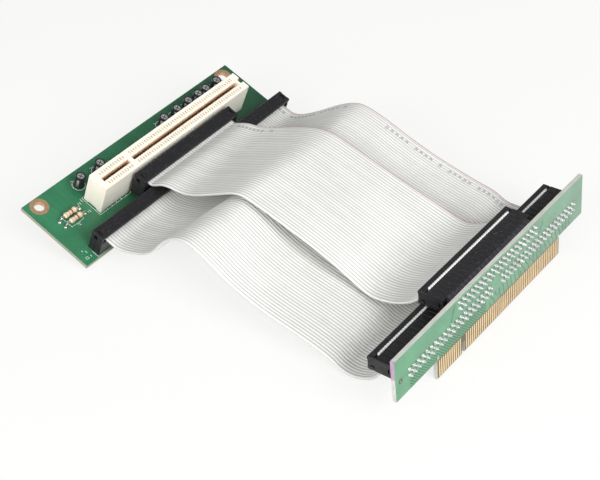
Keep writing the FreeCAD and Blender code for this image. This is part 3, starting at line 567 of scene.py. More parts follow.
def finger_finish(tint, radius):
    """Gold plating, with painted brown shade towards the sides of each finger."""
    finish = Finish("Finger gold", 0.3, (0.25, 4), radius, Metallic=0.85)
    along = finish.place(EDGE_CARD)["Along"]
    phase = ((along - FINGER_START) / FINGER_PITCH).fraction()
    off = abs((phase + 0.5).fraction() - 0.5)
    # Painted shade: each finger turns dark brown towards its sides, standing in for the shade in
    # the gaps between fingers.
    base = finish.mix(off.step(0.20, 0.36) * 0.85, rgba(tint), (0.26, 0.15, 0.07, 1.0))
    return finish.end(finish.shade(base, finish.clouds.step(0.3, 0.7, 0.85, 1.08)),
                      finish.clouds.step(0.3, 0.75, 0.22, 0.42), finish.grain, 0.02)


# Each painted band: its middle along the board, its width and its paint.
RESISTOR_BANDS = (
    (9.3, 0.35, (0.52, 0.26, 0.14)), (10.9, 0.35, (0.40, 0.24, 0.15)),
    (12.3, 0.62, (0.42, 0.035, 0.025)), (14.2, 0.35, (0.55, 0.36, 0.12)))


def resistor_finish(tint):
    """Tan lacquer with four painted bands round the body."""
    finish = Finish("Resistor lacquer", 0.3, (0.3, 3), Coat_Weight=0.4, Coat_Roughness=0.15)
    along = finish.place(SLOT_BOARD)["Along"]
    base = finish.mix(finish.clouds.step(0.3, 0.7), rgba(tint, 0.85), rgba(tint, 1.1))
    for centre, width, paint in RESISTOR_BANDS:
        band = along.between(centre - width / 2, centre + width / 2, 0.05)
        base = finish.mix(band, base, rgba(paint))
    return finish.end(base, finish.clouds.step(0.3, 0.7, 0.24, 0.38), finish.clouds, 0.03)


def streaked_finish(name, roughness, stretch, tones, gloss, depth, **values):
    """A capacitor's skin: streaks on its board's frame, stretched along one axis."""
    finish = Finish(name, roughness, **values)
    place = finish.place(SLOT_BOARD)["Place"]
    marks = finish.noise(finish.vector("MULTIPLY", place, stretch), 1.0, 3.0)
    return finish.end(finish.mix(marks.step(0.3, 0.7), *tones), marks.step(*gloss), marks, depth)


def ink_finish(tint, name="Printed ink"):
    """Printed white ink, thinner in places."""
    finish = Finish(name, 0.6, (0.15, 1.2))
    base = finish.mix(finish.grain.step(0.3, 0.7), rgba(tint, 0.8), rgba(tint, 1.1))
    return finish.end(base, finish.clouds.step(0.3, 0.7, 0.5, 0.7), finish.grain, 0.01)


DASH_CELL = 2.3
DASH_WORD = 16.0


def printed_dashes(finish, along, over, lobe):
    """A broken row of short ink dashes beside the ribbon's striped edge."""
    cell = along / DASH_CELL
    part, chance = cell.fraction(), finish.chance(cell.floor())
    word = finish.chance((along / DASH_WORD).floor() + 0.5)
    some = chance.step(0.18, 0.2) * word.step(0.24, 0.26)
    low = finish.add("ShaderNodeMapRange", {"Value": chance, "To Min": 0.904, "To Max": 0.916})
    rows = over.step(low, low + 0.002) * over.step(0.942, 0.940)
    hollow = 1.0 - over.between(0.912, 0.930, 0.002) * part.between(0.3, 0.56, 0.04)
    return part.between(0.16, 0.70, 0.05) * rows * hollow * some * lobe.step(0.2, 0.6)


def ribbon_finish(name, tint, groove_shade, stripe, conductors, printed):
    """Grey insulation: painted shade in the grooves between the conductors, and one red edge."""
    finish = Finish(name, 0.42, (0.4, 18), Specular_IOR_Level=0.4)
    along, over, lobe = finish.split(
        finish.add("ShaderNodeAttribute", attribute_name="ribbon_place")["Vector"])
    number = (over * float(conductors)).floor()
    own = finish.noise(finish.join(number * 3.7, along * 0.02, 0.0), 1.0, 1.0)
    # Painted shade: the grooves between conductors take the darker groove-shade colour.
    base = finish.mix(lobe.step(0.95, 0.1), rgba(tint), rgba(groove_shade))
    base = finish.shade(base, own.step(0.3, 0.7, 0.96, 1.03)
                        * finish.clouds.step(0.3, 0.7, 0.96, 1.03))
    last = over.step(1.0 - 0.75 / conductors, 1.0 - 0.6 / conductors)
    base = finish.mix(last * 0.75, base, rgba(stripe))
    dashes = printed_dashes(finish, along, over, lobe) * along.between(*printed, 0.3)
    base = finish.mix(dashes * 0.62, base, (0.12, 0.12, 0.13, 1.0))
    return finish.end(base, finish.clouds.step(0.3, 0.7, 0.36, 0.5), finish.grain, 0.02)


def put_finish(material, *nodes):
    """Gives CAD nodes a finish in place of their plain one."""
    for node in nodes:
        for holder in NODES[node].material_slots:
            holder.material = material


# ---- pieces --------------------------------------------------------------------------------------

def keep_piece(name, mesh, slot, replaced=()):
    """Puts a finished mesh in the scene and ties it to the frame."""
    piece = bpy.data.objects.new(name, mesh)
    bpy.context.scene.collection.objects.link(piece)
    mesh.name = name
    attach(piece, BODY)
    if replaced:
        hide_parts(*replaced)


def grow(mesh, tree, settings, place=None):
    """Runs a Geometry Nodes tree on a mesh and returns what it makes as a plain mesh."""
    holder = bpy.data.objects.new("holder", mesh)
    bpy.context.scene.collection.objects.link(holder)
    modifier = holder.modifiers.new("Grow", "NODES")
    modifier.node_group = tree
    for item in tree.interface.items_tree:
        if item.item_type == "SOCKET" and item.in_out == "INPUT" and item.name in settings:
            modifier[item.identifier] = settings[item.name]
    graph = bpy.context.evaluated_depsgraph_get()
    made = bpy.data.meshes.new_from_object(holder.evaluated_get(graph), depsgraph=graph)
    holder.modifiers.remove(modifier)
    bpy.data.objects.remove(holder)
    if place is not None:
        made.transform(place)
    if not made.polygons:
        raise RuntimeError(f"{tree.name} made no faces")
    return made


class Growth(Group):
    """A Geometry Nodes tree that ends in plain faces with their material."""

    def __init__(self, name, **inputs):
        super().__init__(name, {"Geometry": "Geometry", **inputs, "Material": "Material"},
                         {"Geometry": "Geometry"}, "GeometryNodeTree")

    def end(self, shape, smooth=True):
        real = self.add("GeometryNodeRealizeInstances", {"Geometry": shape})
        shaded = self.add("GeometryNodeSetShadeSmooth", {"Geometry": real, "Shade Smooth": smooth})
        return super().end(Geometry=self.add("GeometryNodeSetMaterial", {
            "Geometry": shaded, "Material": self.given["Material"]}))

    def on_points(self, instance, **more):
        return self.add("GeometryNodeInstanceOnPoints", {
            "Points": self.given["Geometry"], "Instance": instance, **more})

    def random(self, low, high, seed):
        return self.add("FunctionNodeRandomValue", {"Min": low, "Max": high, "Seed": seed},
                        data_type="FLOAT_VECTOR")["Value"]

    def turned(self, angles):
        return self.add("FunctionNodeEulerToRotation", {0: angles})

    def attribute(self, name):
        return self.add("GeometryNodeInputNamedAttribute", {"Name": name},
                        data_type="FLOAT")["Attribute"]

    def bar(self, path, width, height):
        """A flat bar along a path, kept level."""
        level = self.add("GeometryNodeSetCurveNormal", {"Curve": path}, mode="Z_UP")
        profile = self.add("GeometryNodeCurvePrimitiveQuadrilateral", {
            "Width": width, "Height": height})["Curve"]
        return self.add("GeometryNodeCurveToMesh", {
            "Curve": level, "Profile Curve": profile, "Fill Caps": True})


def points_mesh(name, points, **values):
    """A mesh of loose points in millimetres, with an optional number for each."""
    mesh = bpy.data.meshes.new(name)
    mesh.from_pydata([tuple(point) for point in points], [], [])
    for key, numbers in values.items():
        mesh.attributes.new(key, "FLOAT", "POINT").data.foreach_set("value", numbers)
    return mesh


def strokes_mesh(name, strokes, level):
    """A mesh of broken lines at one level over a board."""
    corners, edges = [], []
    for stroke in strokes:
        first = len(corners)
        corners.extend((across, along, level) for across, along in stroke)
        edges.extend((first + n, first + n + 1) for n in range(len(stroke) - 1))
    mesh = bpy.data.meshes.new(name)
    mesh.from_pydata(corners, edges, [])
    return mesh


def box_lines(low_across, low_along, high_across, high_along):
    return [(low_across, low_along), (high_across, low_along), (high_across, high_along),
            (low_across, high_along), (low_across, low_along)]


def ring_lines(across, along, radius, sides=20):
    turns = [2 * math.pi * side / sides for side in range(sides + 1)]
    return [(across + radius * math.cos(t), along + radius * math.sin(t)) for t in turns]


# ---- ribbons -------------------------------------------------------------------------------------

# Points are (x, z) in millimetres. A ribbon lies in a slit in its cap at each end.
LOW_SLIT = ((-141.2869, 11.9839), (-136.1321, 9.7958))
TALL_SLIT = ((-146.1788, 17.8626), (-141.0240, 15.6745))
CARD_SLIT = ((-11.1332, 13.1443), (-11.3775, 18.7390))
RIBBONS = {
    "near": {
        "start": -32.90, "printed": (4.0, 34.0), "slit": LOW_SLIT, "leaves": 6.4,
        "arrives": 4.0, "end": CARD_SLIT,
        "near_edge": [(-114.2, 12.3), (-106.2, 22.8), (-98.2, 28.1), (-90.3, 27.5),
                      (-69.8, 13.9), (-34.9, 7.2), (-25.7, 1.2), (-15.9, 4.2)],
        "far_edge": [(-110.5, 12.0), (-102.0, 21.8), (-94.5, 26.2), (-87.0, 25.6),
                     (-70.0, 14.2), (-36.0, 7.0), (-25.5, 1.2), (-15.9, 4.2)],
    },
    "middle": {
        "start": -3.10, "printed": (8.0, 32.0), "slit": TALL_SLIT, "leaves": 1.5,
        "arrives": 0.0,
        "end": ((-15.547, 19.107), (-11.401, 19.288), (-11.532, 22.285), (-11.670, 25.433)),
        "near_edge": [(-132.8, 18.6), (-124.2, 17.7), (-116.7, 19.9), (-103.9, 26.2),
                      (-95.5, 30.3), (-88.6, 29.5), (-55.9, 19.0), (-42.0, 11.8), (-36.0, 9.3),
                      (-27.0, 11.0), (-19.5, 14.9)],
        "far_edge": [(-133.0, 17.8), (-126.0, 18.4), (-118.0, 21.2), (-100.5, 28.2),
                     (-92.5, 29.8), (-85.5, 28.8), (-57.0, 20.0), (-37.8, 15.0), (-29.6, 12.7),
                     (-24.8, 14.0), (-20.6, 16.4)],
    },
    "far": {
        "start": 23.70, "printed": (5.0, 140.0), "slit": LOW_SLIT, "leaves": 6.4,
        "arrives": 2.5, "end": CARD_SLIT,
        "near_edge": [(-120.0, 11.2), (-101.0, 24.0), (-90.0, 24.8), (-66.0, 14.4),
                      (-42.0, 9.6), (-34.0, 8.6), (-28.3, 5.6), (-22.0, 4.8), (-14.6, 5.6)],
        "far_edge": [(-121.0, 11.6), (-100.5, 25.2), (-90.5, 25.8), (-64.5, 15.2),
                     (-40.8, 9.8), (-33.3, 8.8), (-28.3, 5.8), (-22.5, 5.9), (-14.1, 6.4)],
    },
}
RIBBON_END_PROUD = 0.3
RIBBON_WIDTH = 50.8
RIBBON_FACETS = 4


def beyond(first, second, length):
    """The point that far past the second of two points, on their line."""
    run = Vector(second) - Vector(first)
    return tuple(Vector(second) + run.normalized() * length)


def ribbon_rails(name, route):
    """A ribbon's two long edges, as smooth curves from one socket through its bends."""
    curve = bpy.data.curves.new(name, "CURVE")
    curve.dimensions = "3D"
    curve.resolution_u = 12
    for edge, y in (("near_edge", route["start"]), ("far_edge", route["start"] + RIBBON_WIDTH)):
        points = [*route["slit"], beyond(*route["slit"], route["leaves"]), *route[edge]]
        if route["arrives"]:
            enters, cut = route["end"]
            points.append(beyond(cut, enters, route["arrives"]))
        points.extend(route["end"])
        points[-1] = beyond(*route["end"][-2:], RIBBON_END_PROUD)
        spline = curve.splines.new("NURBS")
        spline.points.add(len(points) - 1)
        for point, (x, z) in zip(spline.points, points):
            point.co = (x * MM, y * MM, z * MM, 1.0)
        spline.order_u = 3
        spline.use_endpoint_u = True
    holder = bpy.data.objects.new(name, curve)
    bpy.context.scene.collection.objects.link(holder)
    graph = bpy.context.evaluated_depsgraph_get()
    rails = bpy.data.meshes.new_from_object(holder.evaluated_get(graph), depsgraph=graph)
    bpy.data.objects.remove(holder)
    count = len(rails.vertices) // 2
    travelled = [0.0]
    for first, second in zip(rails.vertices[:count - 1], rails.vertices[1:count]):
        travelled.append(travelled[-1] + (second.co - first.co).length / MM)
    rails.attributes.new("travelled", "FLOAT", "POINT").data.foreach_set("value", travelled * 2)
    return rails


def ribbon_tree():
    """A closed band of ridged conductors between two rails."""
    tree = Growth("Ribbon", Conductors=40, Facets=4, Thickness=0.0009, Web=0.0004)
    rails, conductors = tree.given["Geometry"], tree.given["Conductors"]
    steps = tree.add("GeometryNodeAttributeDomainSize", {"Geometry": rails},
                     component="MESH")["Point Count"] / 2.0
    sides = conductors * tree.given["Facets"] * 2.0
    columns = sides + 1.0
    grid = tree.add("GeometryNodeMeshGrid", {
        "Size X": 1.0, "Size Y": 1.0, "Vertices X": steps + 2.0, "Vertices Y": columns})["Mesh"]
    index = tree.add("GeometryNodeInputIndex")
    row = ((index + 0.5) / columns).floor()
    column = index - row * columns
    last = steps - 1.0
    here = (row - 1.0).at_least(0.0).at_most(last)
    position = tree.add("GeometryNodeInputPosition")

    def rail_points(step):
        return [tree.add("GeometryNodeSampleIndex", {
            "Geometry": rails, "Value": position, "Index": number},
            data_type="FLOAT_VECTOR", domain="POINT") for number in (step, step + steps)]

    near, far = rail_points(here)
    forward = tree.vector("SUBTRACT", tree.vector("ADD", *rail_points((here + 1.0).at_most(last))),
                          tree.vector("ADD", *rail_points((here - 1.0).at_least(0.0))))
    width = tree.vector("SUBTRACT", far, near)
    up = tree.vector("NORMALIZE", tree.vector("CROSS_PRODUCT", forward, width))
    turn = column * 2.0 / sides - 1.0
    over = 1.0 - abs(turn)
    side = 1.0 - turn.math("GREATER_THAN", 0.0) * 2.0
    phase = over * conductors
    wave = (phase + 1e-4).fraction() * 2.0 - 1.0
    lobe = (1.0 - wave * wave).at_least(0.0).math("SQRT")
    edge = phase.at_most(conductors - phase)
    web = tree.given["Web"] * edge.math("GREATER_THAN", 0.45)
    height = (web + (tree.given["Thickness"] - web) * lobe) * 0.5
    ends = row.math("GREATER_THAN", 0.5) * row.math("LESS_THAN", steps + 0.5)
    height = height * ends * edge.math("GREATER_THAN", 0.01)
    level = tree.vector("ADD", near, tree.vector("SCALE", width, over))
    lift = tree.vector("SCALE", up, height * side)
    travelled = tree.add("GeometryNodeSampleIndex", {
        "Geometry": rails, "Index": here, "Value": tree.attribute("travelled")},
        data_type="FLOAT", domain="POINT")
    kept = tree.add("GeometryNodeStoreNamedAttribute", {
        "Geometry": grid, "Name": "ribbon_place",
        "Value": tree.join(travelled, over, lobe.at_least(1.0 - ends))},
        data_type="FLOAT_VECTOR", domain="POINT")
    moved = tree.add("GeometryNodeSetPosition", {
        "Geometry": kept, "Position": tree.vector("ADD", level, lift)})
    return tree.end(tree.add("GeometryNodeMergeByDistance", {"Geometry": moved, "Distance": 1e-7}))


# ---- operators -----------------------------------------------------------------------------------

SLOT_TRACKS = (
    {"pitch": 1.27, "width": 0.4, "start": -13.5, "end": -0.6, "jog": 0.7},
    {"pitch": 2.6, "width": 0.9, "start": -34.0, "end": -24.5, "jog": 0.0},
)
CARD_TRACKS = (
    {"pitch": 1.27, "width": 0.70, "start": -13.4, "end": -8.4, "jog": 0.1, "slant": 1.0,
     "between": (8.0, 54.0)},
    {"pitch": 2.54, "width": 0.5, "start": -13.4, "end": -8.6, "jog": 0.9, "slant": 0.3,
     "between": (56.0, 112.0)},
    {"pitch": 6.4, "width": 0.7, "start": -25.0, "end": -19.0, "jog": 0.6, "slant": -0.5,
     "between": (30.0, 92.0)},
)
CARD_BARE_FROM = -8.5


class RISER_OT_boards(bpy.types.Operator):
    """Give both boards, their finger pads and their mounting rings their finishes"""

    bl_idname = "riser.boards"
    bl_label = "Boards"

    def execute(self, context):
        sizes, colours = settings(context)
        tracks_and_joint_shade = list(CARD_TRACKS)
        # Painted shade: a dark band at the pin pitch over each row of solder joints stands in for
        # the shade round the joints.
        for row in ROWS:
            pins = EDGE_CARD.middles(f"card_{row}_solder_tails")
            low, high = extent(pins)
            tracks_and_joint_shade.append({
                "pitch": PIN_PITCH, "width": 1.0, "first": low[1], "jog": 0.0,
                "start": low[0] - 0.5, "end": high[0] + 1.3, "between": (low[1], high[1] + 1.2)})
        put_finish(mask_finish(
            "Slot board mask", SLOT_BOARD, colours.slot_board, colours.slot_board_far_shade,
            colours.laminate, colours.laminate, SLOT_TRACKS, (1.35, 1.18, 1.25), 0.25,
            None, sizes.board_edge), "slot_board")
        put_finish(mask_finish(
            "Edge card mask", EDGE_CARD, colours.edge_card, colours.edge_card_far_light,
            colours.card_laminate, colours.card_end, tracks_and_joint_shade, (0.30, 0.48, 0.38), 0.85,
            CARD_BARE_FROM, sizes.board_edge), "edge_card")
        put_finish(finger_finish(colours.gold, sizes.board_edge), *nodes_with("finger_pads"))
        put_finish(metal_finish("Ring copper", colours.copper, (0.42, 0.25, 0.14), 0.4,
                                sizes.board_edge, 0.8), *nodes_with("mounting_ring"))
        return {"FINISHED"}


class RISER_OT_slot(bpy.types.Operator):
    """Give the card slot's housing and its contacts their finishes"""

    bl_idname = "riser.slot"
    bl_label = "Card slot"

    def execute(self, context):
        sizes, colours = settings(context)
        put_finish(slot_finish(colours.slot_plastic, sizes.plastic_edge), "slot_housing")
        put_finish(metal_finish("Contact gold", colours.gold, (0.50, 0.33, 0.18), 0.3,
                                sizes.board_edge), "slot_contacts")
        return {"FINISHED"}


class RISER_OT_connectors(bpy.types.Operator):
    """Give the ribbon sockets, their caps and their headers their finish"""

    bl_idname = "riser.connectors"
    bl_label = "Connectors"

    def execute(self, context):
        sizes, colours = settings(context)
        black = colours.connector_plastic
        put_finish(plastic_finish("Connector plastic", black, (0.11, 0.11, 0.11), 0.42,
                                  sizes.plastic_edge),
                   *nodes_with("_cap"), *nodes_with("_socket"))
        put_finish(plastic_finish("Header plastic", [part * 2.6 for part in black],
                                  (0.20, 0.20, 0.20), 0.4, sizes.plastic_edge),
                   *nodes_with("_header"))
        return {"FINISHED"}


class RISER_OT_small_parts(bpy.types.Operator):
    """Give the capacitors and resistors their finishes"""

    bl_idname = "riser.small_parts"
    bl_label = "Small parts"

    def execute(self, context):
        sizes, colours = settings(context)
        put_finish(streaked_finish(
            "Capacitor sleeve", 0.3, (6.0, 6.0, 0.5),
            (rgba(colours.sleeve), rgba(colours.sleeve, 2.2)), (0.25, 0.75, 0.24, 0.4), 0.03,
            Coat_Weight=0.3, Coat_Roughness=0.2), *nodes_with("_sleeve"))
        put_finish(streaked_finish(
            "Capacitor can", 0.34, (0.8, 22.0, 1.0),
            (rgba(colours.can, 0.85), rgba(colours.can, 1.15)), (0.2, 0.8, 0.26, 0.44), 0.01,
            Metallic=0.7), *nodes_with("_can"))
        put_finish(resistor_finish(colours.resistor), *nodes_with("resistor_body"))
        put_finish(metal_finish("Tinned wire", colours.tin, (0.45, 0.44, 0.43), 0.28,
                                sizes.board_edge), *nodes_with("resistor_leads"))
        return {"FINISHED"}


class RISER_OT_ribbons(bpy.types.Operator):
    """Build the three ribbon cables, ridge by ridge, along their routes"""

    bl_idname = "riser.ribbons"
    bl_label = "Ribbons"

    def execute(self, context):
        sizes, colours = settings(context)
        tree = ribbon_tree()
        for name, route in RIBBONS.items():
            finish = ribbon_finish(
                f"Ribbon insulation {name}", colours.ribbon, colours.ribbon_groove_shade,
                colours.ribbon_stripe, sizes.ribbon_conductors, route["printed"])
            mesh = grow(ribbon_rails(f"{name}_rails", route), tree, {
                "Conductors": sizes.ribbon_conductors, "Facets": RIBBON_FACETS,
                "Thickness": sizes.ribbon_thickness, "Web": sizes.ribbon_web,
                "Material": finish})
            keep_piece(f"{name}_ribbon_cable", mesh, "ribbon_grey", [f"ribbon_{name}"])
        return {"FINISHED"}


# How wide a joint is, as a part of its radius, on the way from the board to the pin's tip.
JOINT_PROFILE = ((0.0, 1.0), (1.0, 0.22), (0.16, 0.95), (0.36, 0.80), (0.60, 0.56), (0.88, 0.40))


def joint_tree():
    """A soldered pin at each point: a cone of solder that climbs a round pin."""
    tree = Growth("Solder joints", Radius=0.86, Height=1.75, Turn=(0.0, 0.0, 0.0), Seed=3)
    seed = tree.given["Seed"]
    pin = tree.add("GeometryNodeCurvePrimitiveLine", {
        "Start": (0.0, 0.0, 0.0), "End": tree.join(0.0, 0.0, tree.given["Height"])})
    rings = tree.add("GeometryNodeResampleCurve", {"Curve": pin, "Count": 8}, mode="COUNT")
    profile = tree.add("ShaderNodeFloatCurve", {
        "Value": tree.add("GeometryNodeSplineParameter")["Factor"]})
    mapping = profile.node.mapping
    line = mapping.curves[0]
    line.points[0].location, line.points[1].location = JOINT_PROFILE[:2]
    for x, y in JOINT_PROFILE[2:]:
        line.points.new(x, y)
    mapping.update()
    circle = tree.add("GeometryNodeCurvePrimitiveCircle", {
        "Resolution": 8, "Radius": tree.given["Radius"]})["Curve"]
    joint = tree.add("GeometryNodeCurveToMesh", {
        "Curve": rings, "Profile Curve": circle, "Scale": profile, "Fill Caps": True})
    spread = tree.random((-0.09, -0.09, -0.4), (0.09, 0.09, 0.4), seed)
    return tree.end(tree.on_points(
        joint, Rotation=tree.turned(tree.vector("ADD", spread, tree.given["Turn"])),
        Scale=tree.random((0.9, 0.9, 0.86), (1.1, 1.1, 1.0), seed + 1.0)))


class RISER_OT_solder(bpy.types.Operator):
    """Build a solder joint round every soldered pin on the backs of both boards"""

    bl_idname = "riser.solder"
    bl_label = "Solder joints"

    def execute(self, context):
        sizes, colours = settings(context)
        finish = metal_finish("Solder", colours.solder, (0.52, 0.52, 0.51), 0.22,
                              sizes.board_edge, metallic=0.65, cloud_mm=1.0, depth=0.03)
        tree = joint_tree()
        tails = nodes_with("solder_tails")
        for name, board, level, turn, on_card in (
                ("slot_board_joints", SLOT_BOARD, -BOARD_THICKNESS, math.pi, False),
                ("edge_card_joints", EDGE_CARD, 0.0, 0.0, True)):
            nodes = [tail for tail in tails if tail.startswith("card") == on_card]
            roots = points_mesh(name, [(spot.x, spot.y, level) for spot in board.middles(*nodes)])
            mesh = grow(roots, tree, {
                "Radius": sizes.joint_radius / MM, "Height": sizes.joint_height / MM,
                "Turn": (turn, 0.0, 0.0), "Material": finish}, board.matrix)
            keep_piece(name, mesh, "solder", nodes)
        return {"FINISHED"}


def line_tree():
    """Flat printed strokes along the edges of a mesh, which lies level."""
    tree = Growth("Printed lines", Width=0.22, Height=0.04)
    path = tree.add("GeometryNodeMeshToCurve", {"Mesh": tree.given["Geometry"]})
    return tree.end(tree.bar(path, tree.given["Width"], tree.given["Height"]), smooth=False)


SLOT_BOARD_INK = [
    [(-13.5, 56.0), (-13.5, 21.1), (-23.7, 21.1), (-23.7, 40.0)],
    box_lines(-19.2, 8.5, -16.4, 14.9), box_lines(-22.3, 8.5, -19.5, 14.9),
    [(-0.35, 62.9), (-0.35, 6.4), (-3.6, 6.4)], [(-0.35, 63.5), (-0.35, 119.3), (-3.6, 119.3)],
    [(-25.2, 33.6), (-24.6, 34.6)], [(-25.2, 72.0), (-24.6, 73.0)], [(-31.9, 71.0), (-31.1, 72.2)],
    [(-23.8, 20.2), (-22.1, 20.2)], [(-22.9, 18.9), (-21.7, 18.9)], [(-22.9, 18.1), (-22.1, 18.1)],
    [(-17.9, 19.3), (-16.7, 19.3)], [(-17.9, 18.5), (-17.1, 18.5)],
    [(-15.9, 11.0), (-15.9, 12.6)], [(-15.1, 11.4), (-15.1, 12.2)],
    [(-32.2, 23.4), (-31.4, 24.6)], [(-32.2, 34.0), (-31.4, 35.2)],
    [(-5.5, 4.4), (-4.3, 4.4)], [(-2.9, 4.6), (-2.0, 4.6)],
    box_lines(-3.1, 2.3, -2.1, 3.3), [(-6.4, 3.4), (-5.6, 3.4)],
]
EDGE_CARD_INK = [
    [(-9.3, 23.6), (-9.3, 24.8)], [(-10.1, 23.8), (-10.1, 24.6)],
    [(-8.5, 102.6), (-8.5, 103.6)], [(-9.3, 102.8), (-9.3, 103.4)],
]
CAPACITOR_RING_RADIUS = 2.65


class RISER_OT_ink(bpy.types.Operator):
    """Build the white printed outlines and marks on the faces of both boards"""

    bl_idname = "riser.ink"
    bl_label = "Printed marks"

    def execute(self, context):
        sizes, colours = settings(context)
        finish = ink_finish(colours.ink)
        tree = line_tree()
        cans = [middle_of(SLOT_BOARD.corners(node)) for node in nodes_with("_sleeve")]
        rings = [ring_lines(can.x, can.y, CAPACITOR_RING_RADIUS) for can in cans]
        for name, board, slot, strokes in (
                ("slot_board_ink", SLOT_BOARD, "pcb_dark_green", SLOT_BOARD_INK + rings),
                ("edge_card_ink", EDGE_CARD, "pcb_light_green", EDGE_CARD_INK)):
            mesh = grow(strokes_mesh(name, strokes, 0.01), tree, {
                "Width": sizes.ink_width / MM, "Height": 0.05, "Material": finish}, board.matrix)
            keep_piece(name, mesh, slot)
        return {"FINISHED"}


def mound_tree():
    """A low round mound of solder at each point."""
    tree = Growth("Solder mounds", Radius=0.6, Height=0.4, Seed=5)
    radius = tree.given["Radius"]
    ball = tree.add("GeometryNodeMeshUVSphere", {
        "Segments": 10, "Rings": 6, "Radius": radius})["Mesh"]
    flat = tree.add("GeometryNodeTransform", {
        "Geometry": ball, "Scale": tree.join(1.0, 1.0, tree.given["Height"] / radius)})
    return tree.end(tree.on_points(flat, Scale=tree.random(
        (0.85, 0.85, 0.8), (1.12, 1.12, 1.1), tree.given["Seed"])))


# From the slot's middle: its outer pin rows start here, and their solder shows beside the housing.
OUTER_ROW = 3
BESIDE_HOUSING = 4.75
RESISTORS_END = 20


class RISER_OT_mounds(bpy.types.Operator):
    """Build the solder that shows on the parts' side of the slot board"""

    bl_idname = "riser.mounds"
    bl_label = "Solder mounds"

    def execute(self, context):
        _, colours = settings(context)
        finish = metal_finish("Top solder", colours.solder, (0.55, 0.55, 0.54), 0.24, 0.05 * MM,
                              cloud_mm=1.0)
        beside = [(SLOT_ACROSS + side * BESIDE_HOUSING, tail.y, 0.0)
                  for tail in SLOT_BOARD.middles("slot_solder_tails")
                  for side in (-1, 1) if side * (tail.x - SLOT_ACROSS) > OUTER_ROW]
        leads = [(tail.x, tail.y, 0.0) for tail in SLOT_BOARD.middles("small_part_solder_tails")
                 if tail.y < RESISTORS_END]
        tree = mound_tree()
        for name, spots, radius in (
                ("slot_row_solder", beside, 0.36), ("lead_solder", leads, 0.85)):
            mesh = grow(points_mesh(name, spots), tree, {
                "Radius": radius, "Height": radius * 0.7, "Material": finish}, SLOT_BOARD.matrix)
            keep_piece(name, mesh, "solder")
        return {"FINISHED"}


def leaf_tree():
    """A bent spring leaf at each point, turned by the point's side."""
    tree = Growth("Contact leaves", Width=0.5, Thickness=0.14)
    arc = tree.add("GeometryNodeCurveQuadraticBezier", {
        "Resolution": 6, "Start": (0.45, 0.0, -1.5), "Middle": (0.25, 0.0, 0.65),
        "End": (-0.48, 0.0, -0.75)})
    leaf = tree.bar(arc, tree.given["Width"], tree.given["Thickness"])
    turn = tree.turned(tree.join(0.0, 0.0, tree.attribute("side") * math.pi))
    return tree.end(tree.on_points(leaf, Rotation=turn), smooth=False)


LEAF_ACROSS = 2.6


class RISER_OT_leaves(bpy.types.Operator):
    """Build the bent spring leaves that show in the slot's contact chambers"""

    bl_idname = "riser.leaves"
    bl_label = "Contact leaves"

    def execute(self, context):
        finish = metal_finish("Leaf gold", (0.95, 0.74, 0.46), (0.80, 0.58, 0.36), 0.38,
                              0.03 * MM, metallic=0.6)
        contacts = SLOT_BOARD.middles("slot_contacts")
        sides = [1 if contact.x > SLOT_ACROSS else -1 for contact in contacts]
        spots = [(SLOT_ACROSS + side * LEAF_ACROSS, contact.y, HOUSING_HIGH[2] - 0.1)
                 for side, contact in zip(sides, contacts)]
        roots = points_mesh("leaves", spots, side=[float(side < 0) for side in sides])
        mesh = grow(roots, leaf_tree(), {"Material": finish}, SLOT_BOARD.matrix)
        keep_piece("slot_contact_leaves", mesh, "contact_gold")
        return {"FINISHED"}


def sleeve_stripe_tree():
    """A curved stripe up the side of a capacitor at each point."""
    tree = Growth("Sleeve stripes", Radius=2.0, Length=4.0, Seed=11)
    arc = tree.add("GeometryNodeCurveArc", {
        "Resolution": 7, "Radius": tree.given["Radius"], "Start Angle": -0.24,
        "Sweep Angle": 0.48})
    stripe = tree.bar(arc, 0.05, tree.given["Length"])
    angle = tree.random((0.0, 0.0, -1.6), (0.0, 0.0, -0.6), tree.given["Seed"])
    return tree.end(tree.on_points(stripe, Rotation=tree.turned(angle)))


STRIPE_TONE = 0.36
SCORE_REACH = 1.15


class RISER_OT_capacitor_marks(bpy.types.Operator):
    """Build the pale stripe up each capacitor's sleeve and the vent score on its top"""

    bl_idname = "riser.capacitor_marks"
    bl_label = "Capacitor marks"

    def execute(self, context):
        _, colours = settings(context)
        stripe = ink_finish([part * STRIPE_TONE for part in colours.ink], "Sleeve stripe ink")
        # Painted shade: the vent score is a dark flat bar on the can's top that stands in for the
        # shade in its stamped groove.
        score = metal_finish("Vent score", (0.10, 0.10, 0.10), (0.05, 0.05, 0.05), 0.5, 0.02 * MM)
        sides, scores = [], []
        for node in nodes_with("_sleeve"):
            corners = SLOT_BOARD.corners(node)
            middle, high = middle_of(corners), extent(corners)[1]
            top, radius = high[2], high[0] - middle.x
            sides.append((middle.x, middle.y, top / 2 + 0.25))
            for turn in (0.4, 1.97):
                x, y = Vector((math.cos(turn), math.sin(turn))) * SCORE_REACH
                scores.append([(middle.x - x, middle.y - y), (middle.x + x, middle.y + y)])
        mesh = grow(points_mesh("stripes", sides), sleeve_stripe_tree(), {
            "Radius": radius - 0.01, "Length": top - 2.2, "Material": stripe}, SLOT_BOARD.matrix)
        keep_piece("capacitor_stripes", mesh, "sleeve_black")
        level = extent(SLOT_BOARD.corners(nodes_with("_can")[0]))[1][2] - 0.005
        mesh = grow(strokes_mesh("scores", scores, level), line_tree(), {
            "Width": 0.34, "Height": 0.04, "Material": score}, SLOT_BOARD.matrix)
        keep_piece("capacitor_vents", mesh, "can_aluminium")
        return {"FINISHED"}


